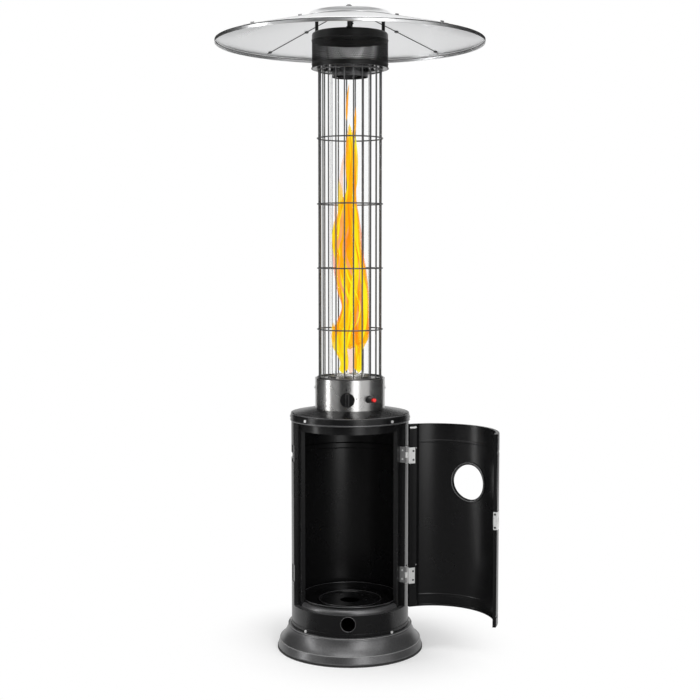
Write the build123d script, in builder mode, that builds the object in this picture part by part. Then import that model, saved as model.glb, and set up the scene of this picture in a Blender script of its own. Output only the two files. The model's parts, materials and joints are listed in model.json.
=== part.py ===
from build123d import *
import math
import os

os.makedirs("parts", exist_ok=True)

# Gas patio heater with a glass flame tube. Millimetres, +Z up, the front towards -Y.
# The origin is on the floor, under the middle of the round base.
# Azimuths are in degrees from +X, so the front is at -90 and the right side at 0.

# Sheet stock, clearances and the one overrun that all cuts share
wall = 1.5
thin_wall = 1.2
foil_wall = 0.8
close_gap = 0.1
seat_gap = 0.3
running_gap = 0.08
cut_overrun = 40.0
cut_steps = 8
front = -90.0
quarter_turn = 90.0
half_turn = 180.0
full_turn = 360.0

# Base
trim_height = 6.0
trim_width = 11.0
trim_overhang = 1.5
base_radius = 216.0
crease_radius = 210.0
foot_height = 3.0
crease_height = 28.0
flare_sagitta = 3.0
lip_radius = 186.0
lip_round = 8.0
base_height = 73.0
collar_height = 12.0
ballast_thickness = 5.0
ballast_hole_radius = 60.0

# Cabinet
cabinet_radius = 175.0
opening_half_angle = 69.5
sill_height = 138.0
cover_height = 722.0
swage_drop = 113.0
swage_height = 19.0
swage_depth = 3.0
front_hole_radius = 21.0
front_hole_height = 113.6
notch_angle = 8.0
notch_height = 51.0
screw_azimuths = [-135.0, -45.0, 0.0, 45.0, 135.0, 180.0]

# Door posts and upper rail
recess_depth = 15.0
post_land_angle = 8.0
post_face_angle = 8.2
post_stand_in_angle = 0.5
post_flange = 12.0
rail_drop = 25.0
rail_flange = 9.0

# Bottle tray and its support ring
tray_rim_height = 15.5
tray_rim_width = 3.0
tray_hole_radius = 29.5
tray_bead_radius = 93.0
tray_bead_width = 8.0
tray_bead_height = 2.5
support_width = 38.0
support_skirt = 12.0
sill_lip_radius = 12.5

# Top cover
cover_dome_rise = 12.0
cover_skirt = 24.0
cover_round = 7.0
cover_seat_margin = 3.0
inlet_hole_radius = 13.0

# Screws
screw_shank_radius = 2.0
screw_head_radius = 4.2
screw_head_height = 2.2
screw_length = 7.0
cover_screw_drop = 14.0
base_screw_rise = 4.6

# Door, given as it stands when it is shut
door_wall = 1.3
door_gap_angle = 2.1
latch_gap_angle = 1.5
door_bottom_gap = 2.0
door_top_gap = 3.0
door_depth = 11.0
door_corner = 3.0
door_rib_width = 8.0
door_rib_depth = 1.0
door_rib_low_rise = 31.0
door_rib_high_drop = 53.0
channel_depth = 9.0
channel_land = 22.0
channel_slope = 9.5
free_channel_land = 9.5
window_azimuth = -85.0
window_drop = 172.0
window_radius = 51.5
window_rim_width = 8.5
window_throat = 4.0
window_rim_proud = 1.3
window_bead_width = 5.0
window_bead_proud = 3.2

# Hinges
hinge_axis_radius = 179.5
hinge_axis_lag_angle = 0.9
hinge_low_rise = 95.0
hinge_high_drop = 95.5
hinge_height = 47.0
hinge_knuckle_radius = 3.6
hinge_pin_radius = 1.7
hinge_pin_head_radius = 2.9
hinge_pin_head_height = 1.2
hinge_middle_share = 0.36
hinge_knuckle_gap = 0.4
hinge_leaf_wall = 1.4
door_leaf_width = 17.0
hinge_screw_spacing = 26.0
hinge_screw_radius = 2.9
hinge_screw_bore_radius = 1.6
hinge_screw_length = 5.0
hinge_screw_head_height = 0.5
door_open_angle = 139.0

# Pull plate and magnet catch on the free edge of the door
pull_rise = 303.0
pull_plate_height = 50.0
pull_plate_wall = 1.2
pull_plate_angle = 9.5
pull_window_angle = 4.6
pull_window_offset_angle = 1.3
pull_window_height = 17.0
pull_cup_wall = 1.0
pull_cup_depth = 5.0
pull_leg_share = 0.92
pull_screw_spacing = 37.0
pull_screw_radius = 3.0
magnet_height = 22.0
magnet_width = 8.0
magnet_thickness = 2.6

# Burner housing
housing_radius = 103.5
housing_height = 90.0
housing_flange = 12.0
housing_screw_rise = 61.0
housing_screw_azimuths = [0.0, 90.0, 180.0]
control_rise = 34.0
top_plate_skirt = 38.0
burner_mouth_radius = 49.0

# Burner, seen through the glass
cup_radius = 46.0
cup_depth = 34.0
cup_proud = 10.0
cup_flange_radius = 53.5
disc_recess = 3.0
flame_slot_count = 20
flame_slot_width = 2.2
flame_slot_inner_radius = 16.0
flame_slot_outer_radius = 37.0
disc_rim = 4.0
mixer_radius = 14.0
mixer_length = 26.0
air_window_width = 7.0
air_window_height = 12.0
jet_radius = 4.5
jet_length = 16.0
jet_bore_radius = 0.9
jet_hex_radius = 8.0
jet_hex_height = 7.0
spark_azimuth = -40.0
spark_rod_radius = 1.2
spark_ceramic_radius = 2.4
spark_ceramic_length = 17.0
spark_rod_length = 8.0
probe_azimuth = 215.0
probe_radius = 2.0
probe_length = 28.0

# Gas valve, knob and igniter
knob_azimuth = -92.0
knob_radius = 21.2
knob_depth = 17.0
knob_skirt_depth = 6.0
knob_grip_width = 11.0
knob_edge_round = 1.2
knob_stand_off = 4.6
knob_travel = 3.0
spindle_radius = 4.0
spindle_length = 26.0
spindle_grip = 8.0
spindle_flat = 1.0
spindle_clearance = 0.4
collar_radius = 7.4
collar_depth = 5.0
valve_width = 30.0
valve_depth = 34.0
valve_height = 32.0
valve_stand_in = 12.0
valve_neck_radius = 9.4
valve_neck_proud = 1.0
inlet_radius = 6.6
inlet_length = 58.0
inlet_bore_radius = 3.2
inlet_hex_radius = 10.0
inlet_hex_height = 9.0
feed_radius = 3.2
feed_drop = 3.5
tilt_switch_width = 26.0
tilt_switch_depth = 22.0
tilt_switch_height = 30.0
tilt_switch_radius = 66.0
tilt_switch_azimuth = 200.0
tilt_switch_round = 2.0
igniter_azimuth = -56.5
igniter_radius = 8.4
igniter_reach = 25.0
igniter_body_radius = 7.6
igniter_body_length = 42.0
igniter_flange_radius = 11.0
igniter_flange_depth = 2.4
igniter_nut_radius = 12.0
igniter_nut_depth = 5.0
igniter_button_radius = 5.7
igniter_button_proud = 8.5
igniter_button_round = 2.0
igniter_button_length = 18.0
igniter_travel = 6.0
igniter_well_gap = 0.4

# Glass tube
glass_radius = 59.0
glass_wall = 3.0
glass_seat_height = 6.0
glass_side_gap = 0.5
glass_seat_lip = 1.5
gasket_height = 2.0

# Guard cage
cage_wire_count = 22
cage_wire_radius = 2.0
cage_radius = 91.4
cage_ring_radius = 2.0
cage_ring_shares = [0.1593, 0.3584, 0.5664, 0.7777]
cage_top_ring_drop = 4.5

# Head
head_bottom = 1716.0
head_radius = 111.0
head_lip = 2.4
head_band_height = 12.0
head_grille_height = 69.0
head_shoulder_height = 22.0
head_shoulder_round = 7.0
grille_columns = 30
grille_rows = 5
grille_slot_width = 13.0
grille_slot_height = 7.0
exhaust_radius = 48.0
tube_collar_radius = 53.0
tube_collar_drop = 24.0
clip_azimuths = [-150.0, -30.0, 90.0]
clip_radius = 77.0
clip_width = 14.0
clip_wall = 1.5
clip_lip = 12.0
wing_radius = 3.2
wing_length = 7.0
wing_span = 15.0
wing_wall = 2.0
wing_height = 6.0

# Reflector
rim_radius = 393.0
rim_height = 1797.0
rim_lip = 10.0
rim_round = 3.0
cone_slope_share = 0.2397
reflector_hub_radius = 84.0
seam_shift_angle = 1.0
seam_lap_angle = 2.0
seam_web_angle = 0.4
seam_joint_angle = 0.05
seam_inner_radius = 172.0
segment_azimuths = {"front": front, "right": 0.0, "back": quarter_turn, "left": half_turn}
seam_bolt_hub_inset = 20.0
seam_bolt_rim_inset = 29.0
seam_bolt_shank = 2.6
seam_bolt_head_radius = 6.0
seam_bolt_head_height = 2.2
seam_nut_radius = 5.2
seam_nut_height = 4.0
post_radius = 5.0
post_ring_radius = 97.0
post_collar_radius = 7.5
post_collar_height = 3.0
post_foot_drop = 7.0
post_hole_gap = 0.6
post_thread_reach = 7.0
cap_radius = 152.0
cap_rise = 19.0
cap_crown_radius = 116.0
cap_bulge = 4.0
cap_nut_radius = 8.0
cap_nut_height = 5.5

# Sizes that follow from the ones above
shell_inner = cabinet_radius - wall
land_radius = shell_inner - close_gap
base_collar_radius = cabinet_radius + close_gap + wall
post_face = cabinet_radius - recess_depth
cover_shoulder = cover_height - cover_dome_rise
lintel_height = cover_shoulder - cover_skirt
swage_bottom = lintel_height - swage_drop
hinge_heights = [sill_height + hinge_low_rise, lintel_height - hinge_high_drop]
window_height = lintel_height - window_drop
pull_height = sill_height + pull_rise
right_edge = front + opening_half_angle
left_edge = front - opening_half_angle
door_bottom = sill_height + door_bottom_gap
door_top = lintel_height - door_top_gap
door_inner = cabinet_radius - door_wall
door_start = right_edge - door_gap_angle
door_end = left_edge + latch_gap_angle
hinge_axis_azimuth = right_edge - hinge_axis_lag_angle
hinge_x = hinge_axis_radius * math.cos(math.radians(hinge_axis_azimuth))
hinge_y = hinge_axis_radius * math.sin(math.radians(hinge_axis_azimuth))
post_inner = post_face - wall
tray_radius = post_face - post_flange - seat_gap
tray_floor = sill_height + wall
channel_radius = door_inner - close_gap - channel_depth
cover_radius = cabinet_radius + seat_gap + wall
shell_top = cover_shoulder - cover_round
cover_seat_radius = housing_radius + cover_seat_margin
housing_inner = housing_radius - thin_wall
deck_height = cover_height + housing_height
control_height = cover_height + control_rise
glass_bottom = deck_height + thin_wall + gasket_height
glass_top = head_bottom - seat_gap
cage_height = head_bottom - deck_height
cage_ring_offset = cage_radius + cage_wire_radius + close_gap + cage_ring_radius
valve_front = housing_inner - valve_stand_in
feed_height = control_height - feed_drop
head_top = head_bottom + head_band_height + head_grille_height + head_shoulder_height
hub_height = rim_height + (rim_radius - reflector_hub_radius) * cone_slope_share
cap_edge_height = rim_height + (rim_radius - cap_radius) * cone_slope_share + 2 * foil_wall
cap_top = cap_edge_height + cap_rise
segment_half_angle = half_turn / len(segment_azimuths)
seam_bolt_radii = [seam_inner_radius + seam_bolt_hub_inset, rim_radius - seam_bolt_rim_inset]
screw_hole_radius = screw_shank_radius + close_gap
hinge_hole_radius = hinge_screw_bore_radius + close_gap
hex_sides = 6
hex_half_angle = half_turn / hex_sides


def polar(radius, azimuth):
    """The point of the ground plan at this radius and azimuth."""
    turn = math.radians(azimuth)
    return (radius * math.cos(turn), radius * math.sin(turn))


def degrees_of(length, radius):
    """The angle that a length takes up along a circle."""
    return math.degrees(length / radius)


def upright_plane(azimuth):
    """The upright plane through the axis, with its x axis pointing out at this azimuth."""
    out = polar(1, azimuth)
    return Plane(origin=(0, 0, 0), x_dir=(out[0], out[1], 0), z_dir=(out[1], -out[0], 0))


def face_plane(radius, azimuth, height):
    """A plane that faces outwards at this place, with its y axis up."""
    place = polar(radius, azimuth)
    out = polar(1, azimuth)
    return Plane(origin=(place[0], place[1], height), x_dir=(-out[1], out[0], 0), z_dir=(out[0], out[1], 0))


def edge_plane(radius, azimuth, height):
    """A plane that faces along the wall, the way the clock runs, with its x axis out."""
    place = polar(radius, azimuth)
    out = polar(1, azimuth)
    return Plane(origin=(place[0], place[1], height), x_dir=(out[0], out[1], 0), z_dir=(out[1], -out[0], 0))


def sheet_section(path, thickness, side=Side.LEFT):
    """Adds a bent sheet's section to the sketch in hand: the path is one face of the sheet."""
    with BuildLine() as section:
        Polyline(*path)
        offset(amount=thickness, side=side)
    make_face(section.edges())


def radial_hole(radius, azimuth, height, hole_radius):
    """Cuts a round hole through the wall at this place of the part in hand."""
    with BuildSketch(face_plane(radius, azimuth, height)) as hole:
        Circle(hole_radius)
    extrude(hole.sketch, amount=recess_depth, both=True, mode=Mode.SUBTRACT)


def edge_hole(radius, azimuth, height, hole_radius):
    """Cuts a round hole along the wall's curve, through an upright leg of the part in hand."""
    with BuildSketch(edge_plane(radius, azimuth, height)) as hole:
        Circle(hole_radius)
    extrude(hole.sketch, amount=door_depth, both=True, mode=Mode.SUBTRACT)


def upright_holes(radius, azimuths, hole_radius, height):
    """Cuts upright holes at this radius through all of the part in hand."""
    with BuildSketch(Plane.XY.offset(height)) as holes:
        for azimuth in azimuths:
            with Locations(polar(radius, azimuth)):
                Circle(hole_radius)
    extrude(holes.sketch, amount=cut_overrun, both=True, mode=Mode.SUBTRACT)


def sector_cut(start, end, bottom, top):
    """Cuts all that lies between two azimuths and two heights away from the part in hand."""
    reach = 2 * cabinet_radius
    rays = [start + (end - start) * step / cut_steps for step in range(cut_steps + 1)]
    with BuildSketch(Plane.XY.offset(bottom)) as sector:
        Polygon((0, 0), *[polar(reach, ray) for ray in rays], align=None)
    extrude(sector.sketch, amount=top - bottom, mode=Mode.SUBTRACT)


def ring_band(inner, outer, bottom, top, mode=Mode.ADD):
    """Adds a round band about the axis to the part in hand."""
    with BuildSketch(Plane.XY.offset(bottom)) as band:
        Circle(outer)
        Circle(inner, mode=Mode.SUBTRACT)
    extrude(band.sketch, amount=top - bottom, mode=mode)


def arc_block(inner, outer, start, end, bottom, top, mode=Mode.ADD):
    """Adds the part of a round band that lies between two azimuths to the part in hand."""
    with BuildSketch(Plane.XY.offset(bottom)) as block:
        with BuildLine():
            near = CenterArc((0, 0), inner, start, end - start)
            far = CenterArc((0, 0), outer, start, end - start)
            Line(near @ 0, far @ 0)
            Line(near @ 1, far @ 1)
        make_face()
    extrude(block.sketch, amount=top - bottom, mode=mode)


def pan_screw(plane, shank_radius, length, head_radius, head_height):
    """Adds one screw, its head on the plane and its shank behind it."""
    with BuildSketch(plane) as shank:
        Circle(shank_radius)
    extrude(shank.sketch, amount=-length)
    with BuildSketch(plane) as head:
        Circle(head_radius)
    extrude(head.sketch, amount=head_height)


def finish(piece, label):
    """Labels a finished piece and writes it."""
    piece.part.label = label
    export_step(piece.part, "parts/" + label + ".step")


# Base: a rubber edge trim, the pressed skirt with a collar round the cabinet, and a ballast plate
with BuildPart() as base_edge_trim:
    ring_band(base_radius + trim_overhang - trim_width, base_radius + trim_overhang, 0, trim_height)
finish(base_edge_trim, "base_edge_trim")

with BuildPart() as base_skirt:
    with BuildSketch(Plane.XZ):
        with BuildLine():
            foot = Line((base_radius, trim_height), (base_radius, trim_height + foot_height))
            band = Line(foot @ 1, (crease_radius, crease_height))
            SagittaArc(band @ 1, (lip_radius, base_height - lip_round), flare_sagitta)
            lip = CenterArc((lip_radius - lip_round, base_height - lip_round), lip_round, 0, quarter_turn)
            ledge = Line(lip @ 1, (base_collar_radius, base_height))
            Line(ledge @ 1, (base_collar_radius, base_height + collar_height))
            offset(amount=wall, side=Side.LEFT)
        make_face()
    revolve(axis=Axis.Z)
    for azimuth in screw_azimuths:
        radial_hole(base_collar_radius, azimuth, base_height + base_screw_rise, screw_hole_radius)
finish(base_skirt, "base_skirt")

with BuildPart() as ballast_plate:
    ballast_top = trim_height + ballast_thickness
    taper_share = (base_radius - crease_radius) / (crease_height - trim_height - foot_height)
    plate_radius = base_radius - ballast_thickness * taper_share - wall - seat_gap
    ring_band(ballast_hole_radius, plate_radius, trim_height, ballast_top)
finish(ballast_plate, "ballast_plate")

# Cabinet: one rolled sheet with the door opening, the hinge notches and the hose hole cut out
with BuildPart() as cabinet_shell:
    with BuildSketch(Plane.XZ):
        sheet_section(
            [
                (cabinet_radius, base_height),
                (cabinet_radius, swage_bottom),
                (cabinet_radius - swage_depth, swage_bottom + swage_depth),
                (cabinet_radius - swage_depth, swage_bottom + swage_height - swage_depth),
                (cabinet_radius, swage_bottom + swage_height),
                (cabinet_radius, shell_top),
            ],
            wall,
        )
    revolve(axis=Axis.Z)
    sector_cut(left_edge, right_edge, sill_height, lintel_height)
    for height in hinge_heights:
        notch_bottom = height - notch_height / 2
        notch_top = height + notch_height / 2
        sector_cut(right_edge - post_stand_in_angle, right_edge + notch_angle, notch_bottom, notch_top)
        sector_cut(left_edge - notch_angle, left_edge + post_stand_in_angle, notch_bottom, notch_top)
    radial_hole(cabinet_radius, front, front_hole_height, front_hole_radius)
    for azimuth in screw_azimuths:
        radial_hole(cabinet_radius, azimuth, base_height + base_screw_rise, screw_hole_radius)
        radial_hole(cabinet_radius, azimuth, cover_shoulder - cover_screw_drop, screw_hole_radius)
finish(cabinet_shell, "cabinet_shell")

# Tray support: a ring inside the cabinet, with a rounded lip along the sill between the posts
rail_gap_angle = degrees_of(seat_gap, post_face)
rail_start = left_edge + post_face_angle + rail_gap_angle
rail_end = right_edge - post_face_angle - rail_gap_angle

with BuildPart() as tray_support:
    with BuildSketch(Plane.XZ):
        sheet_section(
            [
                (land_radius, sill_height - support_skirt),
                (land_radius, sill_height),
                (land_radius - support_width, sill_height),
            ],
            wall,
        )
    revolve(axis=Axis.Z)
    with BuildSketch(upright_plane(rail_start)):
        with BuildLine():
            lip_face = tray_radius + seat_gap + sill_lip_radius
            Line((lip_face, sill_height - wall), (lip_face, sill_height))
            CenterArc((lip_face - sill_lip_radius, sill_height), sill_lip_radius, 0, quarter_turn)
            offset(amount=wall, side=Side.LEFT)
        make_face()
    revolve(axis=Axis.Z, revolution_arc=rail_end - rail_start)
    radial_hole(land_radius, front, front_hole_height, front_hole_radius)
finish(tray_support, "tray_support")

with BuildPart() as bottle_tray:
    tray_wall_radius = tray_radius - tray_rim_width
    with BuildSketch(Plane.XZ):
        sheet_section(
            [
                (tray_hole_radius, tray_floor),
                (tray_bead_radius - tray_bead_width / 2, tray_floor),
                (tray_bead_radius - tray_bead_width / 4, tray_floor + tray_bead_height),
                (tray_bead_radius + tray_bead_width / 4, tray_floor + tray_bead_height),
                (tray_bead_radius + tray_bead_width / 2, tray_floor),
                (tray_wall_radius, tray_floor),
                (tray_wall_radius, tray_floor + tray_rim_height),
                (tray_radius, tray_floor + tray_rim_height),
            ],
            wall,
            Side.RIGHT,
        )
    revolve(axis=Axis.Z)
finish(bottle_tray, "bottle_tray")

# Door posts: folded channels that reach from the tray support up to the rail
hinge_lifts = (-hinge_screw_spacing / 2, hinge_screw_spacing / 2)
post_leaf_ring = (post_face + hinge_axis_radius - hinge_knuckle_radius) / 2

with BuildPart() as post_right:
    with BuildSketch(Plane.XY.offset(sill_height)):
        with BuildLine():
            land_end = right_edge - post_stand_in_angle
            face_end = right_edge - post_face_angle
            land_start = right_edge + post_land_angle
            CenterArc((0, 0), land_radius, land_start, land_end - land_start)
            Line(polar(land_radius, land_end), polar(post_face, land_end))
            CenterArc((0, 0), post_face, land_end, face_end - land_end)
            Line(polar(post_face, face_end), polar(post_face - post_flange, face_end))
            offset(amount=wall, side=Side.RIGHT)
        make_face()
    extrude(amount=lintel_height - wall - sill_height)
    for height in hinge_heights:
        for lift in hinge_lifts:
            edge_hole(post_leaf_ring, land_end, height + lift, hinge_hole_radius)
finish(post_right, "post_right")

with BuildPart() as post_left:
    mirror(post_right.part, about=Plane.YZ)
finish(post_left, "post_left")

with BuildPart() as upper_rail:
    rail_bottom = lintel_height - rail_drop
    with BuildSketch(upright_plane(rail_start)):
        sheet_section(
            [
                (post_face - rail_flange, rail_bottom),
                (post_face, rail_bottom),
                (post_face, lintel_height),
            ],
            wall,
        )
    revolve(axis=Axis.Z, revolution_arc=rail_end - rail_start)
    arc_block(post_inner, land_radius, left_edge, right_edge, lintel_height - wall, lintel_height)
finish(upper_rail, "upper_rail")

# Top cover: a low cone with a turned-down skirt, and a flat middle on which the burner housing stands
dome_run = cover_radius - cover_round - cover_seat_radius
dome_angle = math.degrees(math.atan(cover_dome_rise / dome_run))

with BuildPart() as top_cover:
    with BuildSketch(Plane.XZ):
        with BuildLine():
            round_middle = (cover_radius - cover_round, cover_shoulder - cover_round)
            Line((cover_radius, lintel_height), (cover_radius, cover_shoulder - cover_round))
            shoulder = CenterArc(round_middle, cover_round, 0, quarter_turn - dome_angle)
            Line(shoulder @ 1, (cover_seat_radius, cover_height))
            Line((cover_seat_radius, cover_height), (0, cover_height))
            offset(amount=wall, side=Side.LEFT)
        make_face()
    revolve(axis=Axis.Z)
    for azimuth in screw_azimuths:
        radial_hole(cover_radius, azimuth, cover_shoulder - cover_screw_drop, screw_hole_radius)
    upright_holes(valve_front - valve_depth / 2, [knob_azimuth], inlet_hole_radius, cover_height)
finish(top_cover, "top_cover")

# Door: everything here is made as it stands when the door is shut, then swung open
door_swing = Axis((hinge_x, hinge_y, 0), (0, 0, 1))


def finish_open(piece, label):
    """Swings a finished door piece open about the hinge axis, labels it and writes it."""
    opened = piece.part.rotate(door_swing, door_open_angle)
    opened.label = label
    export_step(opened, "parts/" + label + ".step")


flange_radius = cabinet_radius - door_depth
rib_low = door_bottom + door_rib_low_rise
rib_high = door_top - door_rib_high_drop
window_hole_radius = window_radius + window_throat
pull_start = door_end + pull_window_offset_angle
pull_bottom = pull_height - pull_window_height / 2
pull_top = pull_height + pull_window_height / 2
channel_rise = door_wall + close_gap
leg_radius = door_inner - door_rib_depth - close_gap
edge_leg_angle = degrees_of(pull_plate_wall + close_gap, cabinet_radius)
pull_screw_places = (-pull_screw_spacing / 2, pull_screw_spacing / 2)
pull_screw_ring = cabinet_radius - door_depth / 2

# The skin is one pressing with turned-in top and bottom edges and two stiffening ribs
with BuildPart() as door_skin:
    with BuildSketch(upright_plane(door_end)):
        with BuildLine():
            Line((flange_radius, door_bottom), (cabinet_radius - door_corner, door_bottom))
            low_corner = CenterArc(
                (cabinet_radius - door_corner, door_bottom + door_corner), door_corner, front, quarter_turn
            )
            ribs = Polyline(
                low_corner @ 1,
                (cabinet_radius, rib_low - door_rib_width / 2),
                (cabinet_radius - door_rib_depth, rib_low - door_rib_width / 4),
                (cabinet_radius - door_rib_depth, rib_low + door_rib_width / 4),
                (cabinet_radius, rib_low + door_rib_width / 2),
                (cabinet_radius, rib_high - door_rib_width / 2),
                (cabinet_radius - door_rib_depth, rib_high - door_rib_width / 4),
                (cabinet_radius - door_rib_depth, rib_high + door_rib_width / 4),
                (cabinet_radius, rib_high + door_rib_width / 2),
                (cabinet_radius, door_top - door_corner),
            )
            high_corner = CenterArc(
                (cabinet_radius - door_corner, door_top - door_corner), door_corner, 0, quarter_turn
            )
            Line(high_corner @ 1, (flange_radius, door_top))
            offset(amount=door_wall, side=Side.LEFT)
        make_face()
    revolve(axis=Axis.Z, revolution_arc=door_start - door_end)
    radial_hole(cabinet_radius, window_azimuth, window_height, window_hole_radius + close_gap)
    sector_cut(pull_start, pull_start + pull_window_angle, pull_bottom, pull_top)
finish_open(door_skin, "door_skin")

with BuildPart() as door_hinge_channel:
    with BuildSketch(Plane.XY.offset(door_bottom + channel_rise)):
        with BuildLine():
            channel_land_end = door_start - degrees_of(channel_land, channel_radius)
            slope_end = channel_land_end - degrees_of(channel_slope, channel_radius)
            Line(polar(leg_radius, door_start), polar(channel_radius, door_start))
            CenterArc((0, 0), channel_radius, door_start, channel_land_end - door_start)
            Line(polar(channel_radius, channel_land_end), polar(leg_radius + close_gap - wall, slope_end))
            offset(amount=wall, side=Side.LEFT)
        make_face()
    extrude(amount=door_top - door_bottom - 2 * channel_rise)
    door_screw_reach = door_leaf_width - hinge_screw_radius - 2 * hinge_leaf_wall
    door_leaf_azimuth = door_start - degrees_of(door_screw_reach, channel_radius)
    for height in hinge_heights:
        for lift in hinge_lifts:
            radial_hole(channel_radius, door_leaf_azimuth, height + lift, hinge_hole_radius)
finish_open(door_hinge_channel, "door_hinge_channel")

with BuildPart() as door_free_channel:
    with BuildSketch(Plane.XY.offset(door_bottom + channel_rise)):
        with BuildLine():
            free_land_end = door_end + degrees_of(free_channel_land, channel_radius)
            Line(polar(leg_radius, door_end), polar(channel_radius, door_end))
            CenterArc((0, 0), channel_radius, door_end, free_land_end - door_end)
            offset(amount=wall, side=Side.RIGHT)
        make_face()
    extrude(amount=door_top - door_bottom - 2 * channel_rise)
    for lift in pull_screw_places:
        edge_hole(pull_screw_ring, door_end, pull_height + lift, hinge_hole_radius)
finish_open(door_free_channel, "door_free_channel")

# Window rim: a grommet with a groove all round that grips the edge of the hole
with BuildPart() as rim_groove:
    with BuildSketch(face_plane(cabinet_radius, window_azimuth, window_height)):
        Circle(window_radius + 2 * window_rim_width)
        Circle(window_hole_radius, mode=Mode.SUBTRACT)
    extrude(amount=recess_depth, both=True)
    ring_band(
        door_inner - close_gap,
        cabinet_radius + close_gap,
        window_height - window_radius - 2 * window_rim_width,
        window_height + window_radius + 2 * window_rim_width,
        mode=Mode.INTERSECT,
    )

# The bead that stands up round the window on the door's inner face
with BuildPart() as rim_bead:
    with BuildSketch(face_plane(cabinet_radius, window_azimuth, window_height)):
        Circle(window_radius + window_bead_width)
        Circle(window_radius, mode=Mode.SUBTRACT)
    extrude(amount=recess_depth, both=True)
    ring_band(
        door_inner - window_bead_proud,
        door_inner - close_gap - window_rim_proud / 2,
        window_height - window_radius - 2 * window_rim_width,
        window_height + window_radius + 2 * window_rim_width,
        mode=Mode.INTERSECT,
    )

with BuildPart() as door_window_rim:
    with BuildSketch(face_plane(cabinet_radius, window_azimuth, window_height)):
        Circle(window_radius + window_rim_width)
        Circle(window_radius, mode=Mode.SUBTRACT)
    extrude(amount=recess_depth, both=True)
    ring_band(
        door_inner - window_rim_proud,
        cabinet_radius + window_rim_proud,
        window_height - window_radius - 2 * window_rim_width,
        window_height + window_radius + 2 * window_rim_width,
        mode=Mode.INTERSECT,
    )
    add(rim_groove.part, mode=Mode.SUBTRACT)
    add(rim_bead.part)
finish_open(door_window_rim, "door_window_rim")

# Pull plate: folded round the free edge, with a pressed finger cup behind its window
with BuildPart() as pull_plate:
    with BuildSketch(Plane.XY.offset(pull_height - pull_plate_height / 2)):
        with BuildLine():
            plate_face = cabinet_radius + close_gap + pull_plate_wall
            plate_start = door_end + pull_plate_angle
            plate_end = door_end - edge_leg_angle
            CenterArc((0, 0), plate_face, plate_start, plate_end - plate_start)
            plate_leg_end = cabinet_radius - door_depth * pull_leg_share
            Line(polar(plate_face, plate_end), polar(plate_leg_end, plate_end))
            offset(amount=pull_plate_wall, side=Side.RIGHT)
        make_face()
    extrude(amount=pull_plate_height)
    sector_cut(pull_start, pull_start + pull_window_angle, pull_bottom, pull_top)
    cup_wall_angle = degrees_of(pull_cup_wall, cabinet_radius)
    cup_play_angle = degrees_of(close_gap, cabinet_radius)
    cup_start = pull_start + cup_play_angle
    cup_end = pull_start + pull_window_angle - cup_play_angle
    cup_back = door_inner - pull_cup_depth
    arc_block(cup_back, plate_face, cup_start, cup_end, pull_bottom + close_gap, pull_top - close_gap)
    arc_block(
        cup_back + pull_cup_wall,
        plate_face + cut_overrun,
        cup_start + cup_wall_angle,
        cup_end - cup_wall_angle,
        pull_bottom + close_gap + pull_cup_wall,
        pull_top - close_gap - pull_cup_wall,
        mode=Mode.SUBTRACT,
    )
    arc_block(
        plate_face - pull_plate_wall,
        plate_face,
        cup_start - 2 * cup_play_angle,
        cup_start + cup_wall_angle / 2,
        pull_bottom,
        pull_top,
    )
    for lift in pull_screw_places:
        edge_hole(pull_screw_ring, door_end, pull_height + lift, hinge_hole_radius)
finish_open(pull_plate, "pull_plate")

with BuildPart() as pull_screws:
    for lift in pull_screw_places:
        pan_screw(
            edge_plane(pull_screw_ring, plate_end, pull_height + lift),
            hinge_screw_bore_radius,
            hinge_screw_length,
            pull_screw_radius,
            hinge_screw_head_height,
        )
finish_open(pull_screws, "pull_screws")

with BuildPart() as catch_magnet:
    magnet_start = door_end + degrees_of(wall, channel_radius)
    arc_block(
        channel_radius - close_gap - magnet_thickness,
        channel_radius - close_gap,
        magnet_start,
        magnet_start + degrees_of(magnet_width, channel_radius),
        pull_height - magnet_height / 2,
        pull_height + magnet_height / 2,
    )
finish_open(catch_magnet, "catch_magnet")

# Hinges: two butt hinges whose leaves are folded into the recess between post and door
knuckle_cuts_share = (1 - hinge_middle_share) / 2
pin_bore = hinge_pin_radius + running_gap
knuckle_reach = hinge_axis_radius - hinge_knuckle_radius - hinge_knuckle_gap


def knuckle(azimuth, side, bottom, top):
    """Adds one knuckle with the strip of its leaf that runs out to it."""
    with BuildSketch(Plane.XY.offset(bottom)) as section:
        with Locations((hinge_x, hinge_y)):
            Circle(hinge_knuckle_radius)
        sheet_section(
            [polar(hinge_axis_radius, azimuth), polar(knuckle_reach - hinge_leaf_wall, azimuth)],
            hinge_leaf_wall,
            side,
        )
        with Locations((hinge_x, hinge_y)):
            Circle(pin_bore, mode=Mode.SUBTRACT)
    extrude(section.sketch, amount=top - bottom)


with BuildPart() as hinge_post_leaves:
    post_leg_azimuth = right_edge - post_stand_in_angle - degrees_of(close_gap, post_face)
    for height in hinge_heights:
        hinge_bottom = height - hinge_height / 2
        low_knuckle_top = hinge_bottom + hinge_height * knuckle_cuts_share
        high_knuckle_bottom = hinge_bottom + hinge_height * (1 - knuckle_cuts_share)
        with BuildSketch(Plane.XY.offset(hinge_bottom)) as plate:
            sheet_section(
                [polar(knuckle_reach, post_leg_azimuth), polar(post_face + close_gap, post_leg_azimuth)],
                hinge_leaf_wall,
            )
        extrude(plate.sketch, amount=hinge_height)
        knuckle(post_leg_azimuth, Side.LEFT, hinge_bottom, low_knuckle_top)
        knuckle(post_leg_azimuth, Side.LEFT, high_knuckle_bottom, hinge_bottom + hinge_height)
        for lift in hinge_lifts:
            edge_hole(post_leaf_ring, post_leg_azimuth, height + lift, hinge_hole_radius)
finish(hinge_post_leaves, "hinge_post_leaves")

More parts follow.
